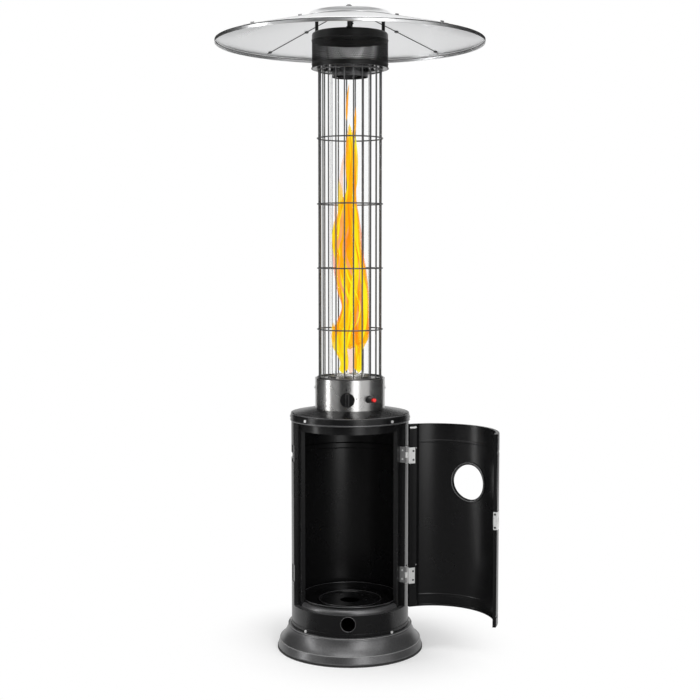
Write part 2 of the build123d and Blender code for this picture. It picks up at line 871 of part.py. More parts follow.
with BuildPart() as hinge_door_leaves:
    door_leg_azimuth = door_start + degrees_of(close_gap, channel_radius)
    leaf_radius = channel_radius - close_gap
    for height in hinge_heights:
        hinge_bottom = height - hinge_height / 2
        middle_bottom = hinge_bottom + hinge_height * knuckle_cuts_share + hinge_knuckle_gap
        middle_top = hinge_bottom + hinge_height * (1 - knuckle_cuts_share) - hinge_knuckle_gap
        with BuildSketch(Plane.XY.offset(hinge_bottom)) as plate:
            with BuildLine() as path:
                Line(polar(knuckle_reach, door_leg_azimuth), polar(leaf_radius, door_leg_azimuth))
                CenterArc((0, 0), leaf_radius, door_leg_azimuth, -degrees_of(door_leaf_width, leaf_radius))
                offset(amount=hinge_leaf_wall, side=Side.RIGHT)
            make_face(path.edges())
        extrude(plate.sketch, amount=hinge_height)
        knuckle(door_leg_azimuth, Side.RIGHT, middle_bottom, middle_top)
        for lift in hinge_lifts:
            radial_hole(channel_radius, door_leaf_azimuth, height + lift, hinge_hole_radius)
finish_open(hinge_door_leaves, "hinge_door_leaves")

with BuildPart() as hinge_pins:
    for height in hinge_heights:
        pin_bottom = height - hinge_height / 2
        with BuildSketch(Plane.XY.offset(pin_bottom)):
            with Locations((hinge_x, hinge_y)):
                Circle(hinge_pin_radius)
        extrude(amount=hinge_height)
        with BuildSketch(Plane.XY.offset(pin_bottom + hinge_height)):
            with Locations((hinge_x, hinge_y)):
                Circle(hinge_pin_head_radius)
        extrude(amount=hinge_pin_head_height)
        with BuildSketch(Plane.XY.offset(pin_bottom - hinge_pin_head_height)):
            with Locations((hinge_x, hinge_y)):
                Circle(hinge_pin_head_radius)
        extrude(amount=hinge_pin_head_height)
finish(hinge_pins, "hinge_pins")

with BuildPart() as hinge_post_screws:
    post_leaf_face = post_leg_azimuth - degrees_of(hinge_leaf_wall + close_gap, post_leaf_ring)
    for height in hinge_heights:
        for lift in hinge_lifts:
            pan_screw(
                edge_plane(post_leaf_ring, post_leaf_face, height + lift),
                hinge_screw_bore_radius,
                hinge_screw_length,
                hinge_screw_radius,
                hinge_screw_head_height,
            )
finish(hinge_post_screws, "hinge_post_screws")

with BuildPart() as hinge_door_screws:
    door_leaf_face = leaf_radius - hinge_leaf_wall - close_gap
    for height in hinge_heights:
        for lift in hinge_lifts:
            pan_screw(
                -face_plane(door_leaf_face, door_leaf_azimuth, height + lift),
                hinge_screw_bore_radius,
                hinge_screw_length,
                hinge_screw_radius,
                hinge_screw_head_height,
            )
finish_open(hinge_door_screws, "hinge_door_screws")

# Pan-headed screws of one size round the base, the cover and the burner housing
housing_screw_height = cover_height + housing_screw_rise
with BuildPart() as casing_screws:
    screw_places = [(base_collar_radius, azimuth, base_height + base_screw_rise) for azimuth in screw_azimuths]
    screw_places += [(cover_radius, azimuth, cover_shoulder - cover_screw_drop) for azimuth in screw_azimuths]
    screw_places += [(housing_radius, azimuth, housing_screw_height) for azimuth in housing_screw_azimuths]
    for radius, azimuth, height in screw_places:
        pan_screw(
            face_plane(radius + close_gap, azimuth, height),
            screw_shank_radius,
            screw_length,
            screw_head_radius,
            screw_head_height,
        )
finish(casing_screws, "casing_screws")

# Burner housing: a rolled stainless drum on the cover, closed by a plate that drops into it
with BuildPart() as burner_housing:
    with BuildSketch(Plane.XZ):
        sheet_section(
            [
                (housing_radius - housing_flange, cover_height),
                (housing_radius, cover_height),
                (housing_radius, deck_height),
            ],
            thin_wall,
        )
    revolve(axis=Axis.Z)
    radial_hole(housing_radius, knob_azimuth, control_height, valve_neck_radius + close_gap)
    radial_hole(housing_radius, igniter_azimuth, control_height, igniter_body_radius + close_gap)
    for azimuth in housing_screw_azimuths:
        radial_hole(housing_radius, azimuth, housing_screw_height, screw_hole_radius)
finish(burner_housing, "burner_housing")

with BuildPart() as housing_top_plate:
    pan_radius = housing_inner - close_gap
    with BuildSketch(Plane.XZ):
        sheet_section(
            [
                (pan_radius, deck_height - top_plate_skirt),
                (pan_radius, deck_height),
                (burner_mouth_radius, deck_height),
            ],
            thin_wall,
        )
    revolve(axis=Axis.Z)
    for azimuth in housing_screw_azimuths:
        radial_hole(pan_radius, azimuth, housing_screw_height, screw_hole_radius)
finish(housing_top_plate, "housing_top_plate")

# Seat of the glass tube: a shallow channel ring with a soft gasket under the glass
with BuildPart() as glass_seat:
    seat_outer = glass_radius + glass_side_gap + thin_wall
    seat_inner = glass_radius - glass_wall - glass_seat_lip
    seat_floor = deck_height + thin_wall
    ring_band(seat_inner, seat_outer, deck_height, seat_floor)
    ring_band(glass_radius + glass_side_gap, seat_outer, seat_floor, deck_height + glass_seat_height)
finish(glass_seat, "glass_seat")

with BuildPart() as tube_gasket:
    ring_band(seat_inner, glass_radius + seat_gap, seat_floor, glass_bottom)
finish(tube_gasket, "tube_gasket")

with BuildPart() as glass_tube:
    ring_band(glass_radius - glass_wall, glass_radius, glass_bottom, glass_top)
finish(glass_tube, "glass_tube")

# Burner: an open cup with its mixing tube, and a slotted flame disc that drops into it
with BuildPart() as burner_cup:
    cup_top = deck_height + cup_proud
    cup_bottom = cup_top - cup_depth
    mixer_bottom = cup_bottom - mixer_length
    ring_band(cup_radius - thin_wall, cup_radius, cup_bottom, cup_top)
    ring_band(mixer_radius - thin_wall, cup_radius, cup_bottom, cup_bottom + thin_wall)
    ring_band(mixer_radius - thin_wall, mixer_radius, mixer_bottom, cup_bottom)
    ring_band(cup_radius - thin_wall / 2, cup_flange_radius, deck_height, deck_height + thin_wall)
    with BuildSketch(Plane.XZ):
        with Locations((0, mixer_bottom + air_window_height)):
            Rectangle(air_window_width, air_window_height)
    extrude(amount=cup_radius, both=True, mode=Mode.SUBTRACT)
    with BuildSketch(Plane.YZ):
        with Locations((0, mixer_bottom + air_window_height)):
            Rectangle(air_window_width, air_window_height)
    extrude(amount=cup_radius, both=True, mode=Mode.SUBTRACT)
finish(burner_cup, "burner_cup")

with BuildPart() as burner_disc:
    disc_top = cup_top - disc_recess
    disc_radius = cup_radius - thin_wall - close_gap
    slot_length = flame_slot_outer_radius - flame_slot_inner_radius
    with BuildSketch(Plane.XY.offset(disc_top - thin_wall)):
        Circle(disc_radius)
        with PolarLocations((flame_slot_inner_radius + flame_slot_outer_radius) / 2, flame_slot_count):
            SlotOverall(slot_length, flame_slot_width, mode=Mode.SUBTRACT)
    extrude(amount=thin_wall)
    ring_band(disc_radius - thin_wall, disc_radius, disc_top - disc_rim, disc_top - thin_wall)
finish(burner_disc, "burner_disc")

with BuildPart() as gas_jet:
    hex_bottom = feed_height - jet_hex_height / 2
    with BuildSketch(Plane.XY.offset(hex_bottom)):
        RegularPolygon(jet_hex_radius, hex_sides, rotation=knob_azimuth - hex_half_angle)
    extrude(amount=jet_hex_height)
    with BuildSketch(Plane.XY.offset(hex_bottom + jet_hex_height)):
        Circle(jet_radius)
    extrude(amount=jet_length)
    with BuildSketch(Plane.XY.offset(feed_height)):
        Circle(jet_bore_radius)
    extrude(amount=jet_length + jet_hex_height, mode=Mode.SUBTRACT)
finish(gas_jet, "gas_jet")

with BuildPart() as spark_electrode:
    electrode_place = polar((cup_radius + cup_flange_radius) / 2, spark_azimuth)
    with BuildSketch(Plane.XY.offset(deck_height + thin_wall)):
        with Locations(electrode_place):
            Circle(spark_ceramic_radius)
    extrude(amount=spark_ceramic_length)
    with BuildSketch(Plane.XY.offset(deck_height + thin_wall + spark_ceramic_length)):
        with Locations(electrode_place):
            Circle(spark_rod_radius)
    extrude(amount=spark_rod_length)
finish(spark_electrode, "spark_electrode")

with BuildPart() as flame_probe:
    with BuildSketch(Plane.XY.offset(deck_height + thin_wall)):
        with Locations(polar((cup_radius + cup_flange_radius) / 2, probe_azimuth)):
            Circle(probe_radius)
    extrude(amount=probe_length)
    chamfer(flame_probe.edges().group_by(Axis.Z)[-1], probe_radius / 2)
finish(flame_probe, "flame_probe")

# Gas valve: a brass block behind the knob, whose neck comes out through the housing
neck_end = housing_radius + valve_neck_proud
collar_back = neck_end + valve_neck_proud - collar_depth
collar_bore_end = collar_back - knob_travel - spindle_clearance
spindle_front = housing_radius + knob_stand_off + spindle_grip
spindle_back = spindle_front - spindle_grip - spindle_length

with BuildPart() as gas_valve:
    with BuildSketch(face_plane(valve_front, knob_azimuth, control_height)):
        Rectangle(valve_width, valve_height)
    extrude(amount=-valve_depth)
    with BuildSketch(face_plane(valve_front, knob_azimuth, control_height)):
        Circle(valve_neck_radius)
    extrude(amount=neck_end - valve_front)
    with BuildSketch(face_plane(neck_end, knob_azimuth, control_height)):
        Circle(collar_radius + running_gap)
    extrude(amount=collar_bore_end - neck_end, mode=Mode.SUBTRACT)
    with BuildSketch(face_plane(collar_bore_end, knob_azimuth, control_height)):
        Circle(spindle_radius + spindle_clearance)
    extrude(amount=spindle_back - knob_travel - spindle_clearance - collar_bore_end, mode=Mode.SUBTRACT)
finish(gas_valve, "gas_valve")

with BuildPart() as valve_collar:
    with BuildSketch(face_plane(collar_back, knob_azimuth, control_height)):
        Circle(collar_radius)
        Circle(spindle_radius + running_gap, mode=Mode.SUBTRACT)
    extrude(amount=collar_depth)
finish(valve_collar, "valve_collar")

with BuildPart() as valve_spindle:
    with BuildSketch(face_plane(spindle_back, knob_azimuth, control_height)):
        Circle(spindle_radius)
    extrude(amount=spindle_front - spindle_back)
    with BuildSketch(face_plane(spindle_front - spindle_grip, knob_azimuth, control_height)):
        with Locations((0, spindle_radius)):
            Rectangle(2 * spindle_radius, 2 * spindle_flat)
    extrude(amount=spindle_grip, mode=Mode.SUBTRACT)
finish(valve_spindle, "valve_spindle")

with BuildPart() as control_knob:
    knob_plane = face_plane(housing_radius + knob_stand_off, knob_azimuth, control_height)
    with BuildSketch(knob_plane):
        Circle(knob_radius)
    extrude(amount=knob_skirt_depth)
    with BuildSketch(knob_plane):
        Circle(knob_radius - 2 * knob_edge_round)
        with Locations((-knob_radius - knob_grip_width / 2, 0), (knob_radius + knob_grip_width / 2, 0)):
            Rectangle(2 * knob_radius, 2 * knob_radius, mode=Mode.SUBTRACT)
    extrude(amount=knob_depth)
    knob_outward = Axis((0, 0, 0), polar(1, knob_azimuth) + (0,))
    fillet(control_knob.faces().sort_by(knob_outward)[-1].edges(), knob_edge_round)
    with BuildSketch(knob_plane):
        Circle(spindle_radius + close_gap)
        with Locations((0, spindle_radius + close_gap)):
            Rectangle(3 * spindle_radius, 2 * spindle_flat, mode=Mode.SUBTRACT)
    extrude(amount=spindle_grip + close_gap, mode=Mode.SUBTRACT)
finish(control_knob, "control_knob")

with BuildPart() as feed_pipe:
    valve_back = valve_front - valve_depth
    with BuildSketch(face_plane(valve_back, knob_azimuth, feed_height)):
        Circle(feed_radius)
    extrude(amount=jet_hex_radius * math.cos(math.radians(hex_half_angle)) - valve_back)
finish(feed_pipe, "feed_pipe")

with BuildPart() as gas_inlet:
    inlet_place = polar(valve_front - valve_depth / 2, knob_azimuth)
    inlet_top = control_height - valve_height / 2
    with BuildSketch(Plane.XY.offset(inlet_top - inlet_length)):
        with Locations(inlet_place):
            Circle(inlet_radius)
    extrude(amount=inlet_length)
    with BuildSketch(Plane.XY.offset(inlet_top - inlet_hex_height)):
        with Locations(inlet_place):
            RegularPolygon(inlet_hex_radius, hex_sides)
    extrude(amount=inlet_hex_height)
    with BuildSketch(Plane.XY.offset(inlet_top - inlet_length)):
        with Locations(inlet_place):
            Circle(inlet_bore_radius)
    extrude(amount=inlet_length, mode=Mode.SUBTRACT)
finish(gas_inlet, "gas_inlet")

with BuildPart() as tilt_switch:
    switch_place = polar(tilt_switch_radius, tilt_switch_azimuth)
    with BuildSketch(Plane.XY.offset(cover_height)):
        with Locations(Location((switch_place[0], switch_place[1], 0), (0, 0, 1), tilt_switch_azimuth)):
            RectangleRounded(tilt_switch_depth, tilt_switch_width, tilt_switch_round)
    extrude(amount=tilt_switch_height)
finish(tilt_switch, "tilt_switch")

# Push igniter: a threaded barrel through the housing, held by a nut, with a sprung red button
igniter_face = housing_radius + igniter_reach
button_back = igniter_face + igniter_button_proud - igniter_button_length

with BuildPart() as igniter_body:
    with BuildSketch(face_plane(housing_inner - igniter_body_length, igniter_azimuth, control_height)):
        Circle(igniter_body_radius)
    extrude(amount=igniter_body_length + igniter_reach)
    with BuildSketch(face_plane(housing_radius + close_gap, igniter_azimuth, control_height)):
        Circle(igniter_radius)
    extrude(amount=igniter_reach - close_gap)
    with BuildSketch(face_plane(housing_radius + close_gap, igniter_azimuth, control_height)):
        Circle(igniter_flange_radius)
    extrude(amount=igniter_flange_depth)
    with BuildSketch(face_plane(igniter_face, igniter_azimuth, control_height)):
        Circle(igniter_button_radius + igniter_well_gap)
    extrude(amount=button_back - igniter_travel - igniter_well_gap - igniter_face, mode=Mode.SUBTRACT)
finish(igniter_body, "igniter_body")

with BuildPart() as igniter_nut:
    nut_face = math.sqrt(housing_inner**2 - igniter_nut_radius**2) - close_gap
    with BuildSketch(face_plane(nut_face, igniter_azimuth, control_height)):
        RegularPolygon(igniter_nut_radius, hex_sides)
        Circle(igniter_body_radius + close_gap, mode=Mode.SUBTRACT)
    extrude(amount=-igniter_nut_depth)
finish(igniter_nut, "igniter_nut")

with BuildPart() as igniter_button:
    with BuildSketch(face_plane(button_back, igniter_azimuth, control_height)):
        Circle(igniter_button_radius)
    extrude(amount=igniter_button_length)
    outward = Axis((0, 0, 0), polar(1, igniter_azimuth) + (0,))
    fillet(igniter_button.faces().sort_by(outward)[-1].edges(), igniter_button_round)
finish(igniter_button, "igniter_button")

# Guard cage: upright wires with rings welded round the outside of them
with BuildPart() as cage_wires:
    with BuildSketch(Plane.XY.offset(deck_height)):
        with PolarLocations(cage_radius, cage_wire_count, start_angle=front + half_turn / cage_wire_count):
            Circle(cage_wire_radius)
    extrude(amount=head_bottom - deck_height)
finish(cage_wires, "cage_wires")

with BuildPart() as cage_rings:
    ring_heights = [deck_height + share * cage_height for share in cage_ring_shares]
    ring_heights += [deck_height + cage_ring_radius, head_bottom - cage_top_ring_drop]
    with BuildSketch(Plane.XZ):
        with Locations(*[(cage_ring_offset, height) for height in ring_heights]):
            Circle(cage_ring_radius)
    revolve(axis=Axis.Z)
finish(cage_rings, "cage_rings")

# Head: a bottom plate on the cage, and a drum of plain band, grille and shoulder on the plate
head_inner = head_radius - thin_wall
band_top = head_bottom + head_band_height
grille_top = band_top + head_grille_height

with BuildPart() as head_bottom_plate:
    ring_band(exhaust_radius, head_inner - close_gap, head_bottom, head_bottom + thin_wall)
    upright_holes(clip_radius, clip_azimuths, wing_radius + close_gap, head_bottom)
finish(head_bottom_plate, "head_bottom_plate")

with BuildPart() as tube_collar:
    ring_band(exhaust_radius, tube_collar_radius, head_bottom - thin_wall, head_bottom)
    collar_inner = tube_collar_radius - thin_wall
    ring_band(collar_inner, tube_collar_radius, head_bottom - tube_collar_drop, head_bottom)
finish(tube_collar, "tube_collar")

with BuildPart() as tube_clips:
    clip_heel = glass_radius + seat_gap
    clip_reach = clip_radius - clip_heel
    for azimuth in clip_azimuths:
        with BuildSketch(face_plane(clip_heel, azimuth, head_bottom - clip_wall / 2)) as tongue:
            Rectangle(clip_width, clip_wall)
        extrude(tongue.sketch, amount=clip_reach + clip_width / 2)
        with BuildSketch(face_plane(clip_heel, azimuth, head_bottom - clip_lip / 2)) as lip:
            Rectangle(clip_width, clip_lip)
        extrude(lip.sketch, amount=clip_wall)
    upright_holes(clip_radius, clip_azimuths, wing_radius + close_gap, head_bottom)
finish(tube_clips, "tube_clips")

with BuildPart() as clip_screws:
    wing_top = head_bottom - clip_wall - close_gap
    for azimuth in clip_azimuths:
        with BuildSketch(Plane.XY.offset(wing_top - wing_length)) as shank:
            with Locations(polar(clip_radius, azimuth)):
                Circle(wing_radius)
        extrude(shank.sketch, amount=2 * wing_length)
        with BuildSketch(face_plane(clip_radius, azimuth, wing_top - wing_length)) as wings:
            Rectangle(wing_span, wing_height)
        extrude(wings.sketch, amount=wing_wall / 2, both=True)
finish(clip_screws, "clip_screws")

with BuildPart() as head_lower_band:
    ring_band(head_inner, head_radius, head_bottom, band_top)
    ring_band(head_radius, head_radius + head_lip, head_bottom, head_bottom + thin_wall)
finish(head_lower_band, "head_lower_band")

with BuildPart() as head_grille:
    ring_band(head_inner, head_radius, band_top, grille_top)
    row_pitch = head_grille_height / grille_rows
    column_pitch = full_turn / grille_columns
    slot_planes = [
        face_plane(
            head_inner - thin_wall,
            front + column_pitch * (column + (row % 2) / 2),
            band_top + (row + 1 / 2) * row_pitch,
        )
        for row in range(grille_rows)
        for column in range(grille_columns)
    ]
    with BuildSketch(*slot_planes):
        Rectangle(grille_slot_width, grille_slot_height)
    extrude(amount=3 * thin_wall, mode=Mode.SUBTRACT)
finish(head_grille, "head_grille")

with BuildPart() as head_shoulder:
    with BuildSketch(Plane.XZ):
        with BuildLine():
            round_middle = (head_radius - head_shoulder_round, head_top - head_shoulder_round)
            Line((head_radius, grille_top), (head_radius, head_top - head_shoulder_round))
            CenterArc(round_middle, head_shoulder_round, 0, quarter_turn)
            Line((head_radius - head_shoulder_round, head_top), (0, head_top))
            offset(amount=thin_wall, side=Side.LEFT)
        make_face()
    revolve(axis=Axis.Z)
    upright_holes(post_ring_radius, segment_azimuths.values(), post_radius + close_gap, head_top)
finish(head_shoulder, "head_shoulder")


def cone_height(radius):
    """The height of the reflector's upper face at this radius."""
    return rim_height + (rim_radius - radius) * cone_slope_share


def cone_plane(radius, azimuth, lift):
    """A plane square to the reflector at this place, lifted off its upper face."""
    slope = math.atan(cone_slope_share)
    normal = polar(math.sin(slope), azimuth) + (math.cos(slope),)
    place = polar(radius, azimuth)
    along = polar(1, azimuth + quarter_turn)
    surface = Vector(place[0], place[1], cone_height(radius)) + Vector(*normal) * lift
    return Plane(origin=surface, x_dir=(along[0], along[1], 0), z_dir=normal)


# Posts: threaded rods that stand on the head and carry the reflector
collar_top = cone_height(post_ring_radius + post_collar_radius) - 2 * foil_wall
with BuildPart() as head_posts:
    for azimuth in segment_azimuths.values():
        with BuildSketch(Plane.XY.offset(head_top - post_foot_drop)) as rod:
            with Locations(polar(post_ring_radius, azimuth)):
                Circle(post_radius)
        extrude(rod.sketch, amount=cap_top + post_thread_reach - head_top + post_foot_drop)
        for collar_bottom in (head_top, collar_top - post_collar_height):
            with BuildSketch(Plane.XY.offset(collar_bottom)) as collar:
                with Locations(polar(post_ring_radius, azimuth)):
                    Circle(post_collar_radius)
            extrude(collar.sketch, amount=post_collar_height)
finish(head_posts, "head_posts")

# Reflector: four pressed segments, each with a raised strip that laps over its neighbour
lap_lift = foil_wall + close_gap
segment_start = -segment_half_angle - seam_shift_angle
segment_arc = 2 * segment_half_angle - seam_joint_angle
for name, azimuth in segment_azimuths.items():
    edge_azimuth = azimuth + segment_start + segment_arc
    with BuildPart() as segment:
        with BuildSketch(upright_plane(azimuth + segment_start)):
            sheet_section(
                [
                    (reflector_hub_radius, hub_height),
                    (rim_radius - rim_round, cone_height(rim_radius - rim_round)),
                    (rim_radius, rim_height - rim_round),
                    (rim_radius, rim_height - rim_lip),
                ],
                foil_wall,
                Side.RIGHT,
            )
        revolve(axis=Axis.Z, revolution_arc=segment_arc)
        with BuildSketch(upright_plane(edge_azimuth - seam_lap_angle)):
            sheet_section(
                [
                    (seam_inner_radius, cone_height(seam_inner_radius) + lap_lift),
                    (rim_radius - rim_lip, cone_height(rim_radius - rim_lip) + lap_lift),
                ],
                foil_wall,
                Side.RIGHT,
            )
        revolve(axis=Axis.Z, revolution_arc=2 * seam_lap_angle)
        with BuildSketch(upright_plane(edge_azimuth - seam_web_angle)):
            sheet_section(
                [
                    (seam_inner_radius, cone_height(seam_inner_radius) + lap_lift),
                    (rim_radius - rim_lip, cone_height(rim_radius - rim_lip) + lap_lift),
                ],
                foil_wall + 2 * close_gap,
                Side.RIGHT,
            )
        revolve(axis=Axis.Z, revolution_arc=seam_web_angle)
        post_hole_radius = post_radius + post_hole_gap
        upright_holes(post_ring_radius, [azimuth], post_hole_radius, cone_height(post_ring_radius))
        for radius in seam_bolt_radii:
            for seam in (azimuth - segment_half_angle, azimuth + segment_half_angle):
                with BuildSketch(cone_plane(radius, seam, 0)) as bolt_hole:
                    Circle(seam_bolt_shank + close_gap)
                extrude(bolt_hole.sketch, amount=rim_lip, both=True, mode=Mode.SUBTRACT)
    finish(segment, "reflector_" + name)

with BuildPart() as reflector_bolts:
    for azimuth in segment_azimuths.values():
        for radius in seam_bolt_radii:
            pan_screw(
                -cone_plane(radius, azimuth + segment_half_angle, -foil_wall - close_gap),
                seam_bolt_shank,
                2 * lap_lift + seam_nut_height,
                seam_bolt_head_radius,
                seam_bolt_head_height,
            )
finish(reflector_bolts, "reflector_bolts")

with BuildPart() as reflector_nuts:
    for azimuth in segment_azimuths.values():
        for radius in seam_bolt_radii:
            with BuildSketch(cone_plane(radius, azimuth + segment_half_angle, lap_lift + close_gap)) as nut:
                RegularPolygon(seam_nut_radius, hex_sides)
                Circle(seam_bolt_shank + close_gap, mode=Mode.SUBTRACT)
            extrude(nut.sketch, amount=seam_nut_height)
        with BuildSketch(Plane.XY.offset(cap_top)) as cap_nut:
            with Locations(polar(post_ring_radius, azimuth)):
                RegularPolygon(cap_nut_radius, hex_sides)
                Circle(post_radius + close_gap, mode=Mode.SUBTRACT)
        extrude(cap_nut.sketch, amount=cap_nut_height)
finish(reflector_nuts, "reflector_nuts")

# Cap: a shallow dish over the hub of the reflector
with BuildPart() as reflector_cap:
    with BuildSketch(Plane.XZ):
        with BuildLine():
            brow = SagittaArc((cap_radius, cap_edge_height), (cap_crown_radius, cap_top), cap_bulge)
            Line(brow @ 1, (0, cap_top))
            offset(amount=foil_wall, side=Side.LEFT)
        make_face()
    revolve(axis=Axis.Z)
    upright_holes(post_ring_radius, segment_azimuths.values(), post_radius + close_gap, cap_top)
finish(reflector_cap, "reflector_cap")
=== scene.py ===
# %% [markdown]
# # A gas patio heater with a glass flame tube
# This lesson dresses a finished construction in Blender. We add what solids
# can't carry well: the perforated wall of the head, rolled hems and beads,
# small rivets and marks, the flame, and the finish of each surface.

# %% Load the construction
import json
import math
import bpy
import numpy as np
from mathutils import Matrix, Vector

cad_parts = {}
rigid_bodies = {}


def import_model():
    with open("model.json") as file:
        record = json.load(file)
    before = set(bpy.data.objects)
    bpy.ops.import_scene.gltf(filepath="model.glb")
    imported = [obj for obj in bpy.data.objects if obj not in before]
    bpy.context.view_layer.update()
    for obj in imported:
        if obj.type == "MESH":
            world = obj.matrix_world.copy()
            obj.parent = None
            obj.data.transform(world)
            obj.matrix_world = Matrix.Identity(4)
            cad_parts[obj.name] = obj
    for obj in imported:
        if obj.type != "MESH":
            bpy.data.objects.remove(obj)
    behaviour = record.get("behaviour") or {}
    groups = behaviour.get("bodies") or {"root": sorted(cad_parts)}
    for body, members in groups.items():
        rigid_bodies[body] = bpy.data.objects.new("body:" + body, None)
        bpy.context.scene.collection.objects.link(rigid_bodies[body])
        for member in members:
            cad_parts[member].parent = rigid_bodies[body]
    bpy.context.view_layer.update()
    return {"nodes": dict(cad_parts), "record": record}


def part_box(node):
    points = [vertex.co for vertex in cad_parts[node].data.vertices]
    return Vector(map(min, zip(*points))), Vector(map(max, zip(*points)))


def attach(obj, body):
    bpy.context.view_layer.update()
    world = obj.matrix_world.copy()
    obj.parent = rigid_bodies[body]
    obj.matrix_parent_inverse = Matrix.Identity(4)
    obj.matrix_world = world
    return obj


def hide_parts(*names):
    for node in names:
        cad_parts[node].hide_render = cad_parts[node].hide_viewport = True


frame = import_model()
heater = bpy.context.scene
print("parts loaded:", len(frame["nodes"]))

# %% [markdown]
# ## The camera
# The photograph was taken with a long lens from a little above the middle of
# the heater, and a touch to the right of its centre line. A long lens keeps
# the tall heater free of strong perspective. We place the camera by distance,
# height and turn, and tip it down a little.

# %% Camera
lens_mm = 66.34
sensor_mm = 36
camera_distance = 3.8169
camera_height = 1.18924
camera_turn = math.radians(1.8)
camera_pitch = math.radians(4.4327)

camera_data = bpy.data.cameras.new("patio_camera")
camera_data.lens = lens_mm
camera_data.sensor_width = sensor_mm
camera = bpy.data.objects.new("patio_camera", camera_data)
camera.location = (
    camera_distance * math.sin(camera_turn),
    -camera_distance * math.cos(camera_turn),
    camera_height,
)
camera.rotation_euler = (math.pi / 2 - camera_pitch, 0, camera_turn)
heater.collection.objects.link(camera)
heater.camera = camera
heater.view_settings.view_transform = "Standard"
print("camera at", [round(v, 3) for v in camera.location])

# %% [markdown]
# ## Meshes from arrays
# Every new piece is a surface of two parameters. We compute its points as one
# numpy array and hand the grid to Blender. A grid can close on itself along
# either parameter, as a tube or a ring does, and a row of points that falls
# together makes the pole of a closed form. Most pieces lie round an upright
# line, so one helper turns radius, angle and height into points.


# %% Grid helpers
def full_circle(count):
    """Angles all the way round, none of them twice."""
    return np.linspace(0, 2 * math.pi, count, endpoint=False)


def round_points(radius, turn, height, centre=(0.0, 0.0)):
    """(cx + r cos a, cy + r sin a, z) for numbers or arrays that fit each other, row by row."""
    x, y = centre[0] + radius * np.cos(turn), centre[1] + radius * np.sin(turn)
    return np.stack(np.broadcast_arrays(x, y, height), axis=-1).reshape(-1, 3)


def grid_faces(rows, columns, close_rows, close_columns):
    """Quads between neighbours: point (i, j) joins (i, j+1), (i+1, j+1) and (i+1, j)."""
    i = np.arange(rows if close_rows else rows - 1)
    j = np.arange(columns if close_columns else columns - 1)
    i, j = np.meshgrid(i, j, indexing="ij")
    i, j = i.ravel(), j.ravel()
    next_i, next_j = (i + 1) % rows, (j + 1) % columns
    corners = (i * columns + j, i * columns + next_j, next_i * columns + next_j, next_i * columns + j)
    return np.stack(corners, axis=1)


def mesh_object(name, points, faces, body, material, smooth=True):
    """One mesh from an (n, 3) array of points and an (m, 4) array of quads."""
    mesh = bpy.data.meshes.new(name)
    mesh.from_pydata(points.tolist(), [], faces.tolist())
    mesh.validate()
    mesh.polygons.foreach_set("use_smooth", np.full(len(mesh.polygons), smooth))
    mesh.materials.append(material)
    piece = bpy.data.objects.new(name, mesh)
    heater.collection.objects.link(piece)
    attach(piece, body)
    print(name, "points", len(points), "faces", len(faces))
    return piece


# %% [markdown]
# ## Nodes from numbers
# Materials are built from a few small nodes, again and again. Each helper
# below makes one node in a tree, feeds it with numbers or with the outputs of
# other nodes, and returns what comes out.


# %% Node helpers
def math_node(tree, operation, *feeds, clamp=False):
    """A sum, product and so on of numbers or outputs."""
    node = tree.nodes.new("ShaderNodeMath")
    node.operation = operation
    node.use_clamp = clamp
    for place, feed in zip(node.inputs, feeds):
        if isinstance(feed, bpy.types.NodeSocket):
            tree.links.new(feed, place)
        else:
            place.default_value = feed
    return node.outputs[0]


def length_node(tree, vector):
    """The length of a vector."""
    node = tree.nodes.new("ShaderNodeVectorMath")
    node.operation = "LENGTH"
    tree.links.new(vector, node.inputs[0])
    return node.outputs["Value"]


def scale_node(tree, colour, factor):
    """A colour made lighter or darker by a factor."""
    node = tree.nodes.new("ShaderNodeVectorMath")
    node.operation = "SCALE"
    tree.links.new(colour, node.inputs[0])
    tree.links.new(factor, node.inputs["Scale"])
    return node.outputs["Vector"]


def range_node(tree, value, low, high, to_low, to_high, kind="LINEAR"):
    """Maps a value from one range to another, and keeps it inside."""
    node = tree.nodes.new("ShaderNodeMapRange")
    node.interpolation_type = kind
    ends = {"From Min": low, "From Max": high, "To Min": to_low, "To Max": to_high}
    for label, end_value in ends.items():
        node.inputs[label].default_value = end_value
    tree.links.new(value, node.inputs["Value"])
    return node.outputs["Result"]


def noise_node(tree, vector, scale, detail, roughness=0.5):
    """A noise texture at the places that the vector gives; returns the node itself."""
    node = tree.nodes.new("ShaderNodeTexNoise")
    for label, value in (("Scale", scale), ("Detail", detail), ("Roughness", roughness)):
        node.inputs[label].default_value = value
    tree.links.new(vector, node.inputs["Vector"])
    return node


def swing_node(tree, wave, amount, middle):
    """middle + amount (wave - 1/2), for a wave between 0 and 1."""
    return math_node(tree, "MULTIPLY_ADD", math_node(tree, "SUBTRACT", wave, 0.5), amount, middle)


# %% [markdown]
# ## Studio
# Product shots of black metal are made with a white room, large soft lamps
# and black cards. The white room gives the pale ground, the lamps give long
# soft highlights, and the cards keep the edges of round forms dark. The world
# is white where the camera, a reflection or glass looks at it, and dimmer as
# a source of light, so that colours come out about as they are written.

# %% World
room_light = 0.78

world = bpy.data.worlds.new("white_room")
heater.world = world
world.use_nodes = True
room = world.node_tree
background = room.nodes["Background"]
background.inputs["Color"].default_value = (1, 1, 1, 1)
path = room.nodes.new("ShaderNodeLightPath").outputs
seen = math_node(room, "ADD", path["Is Camera Ray"], path["Is Glossy Ray"])
seen_through = math_node(room, "ADD", seen, path["Is Transmission Ray"], clamp=True)
strength = range_node(room, seen_through, 0.0, 1.0, room_light, 1.0)
room.links.new(strength, background.inputs["Strength"])
print("room light", room_light)

# %% Lamps
lamp_aim_height = 0.95


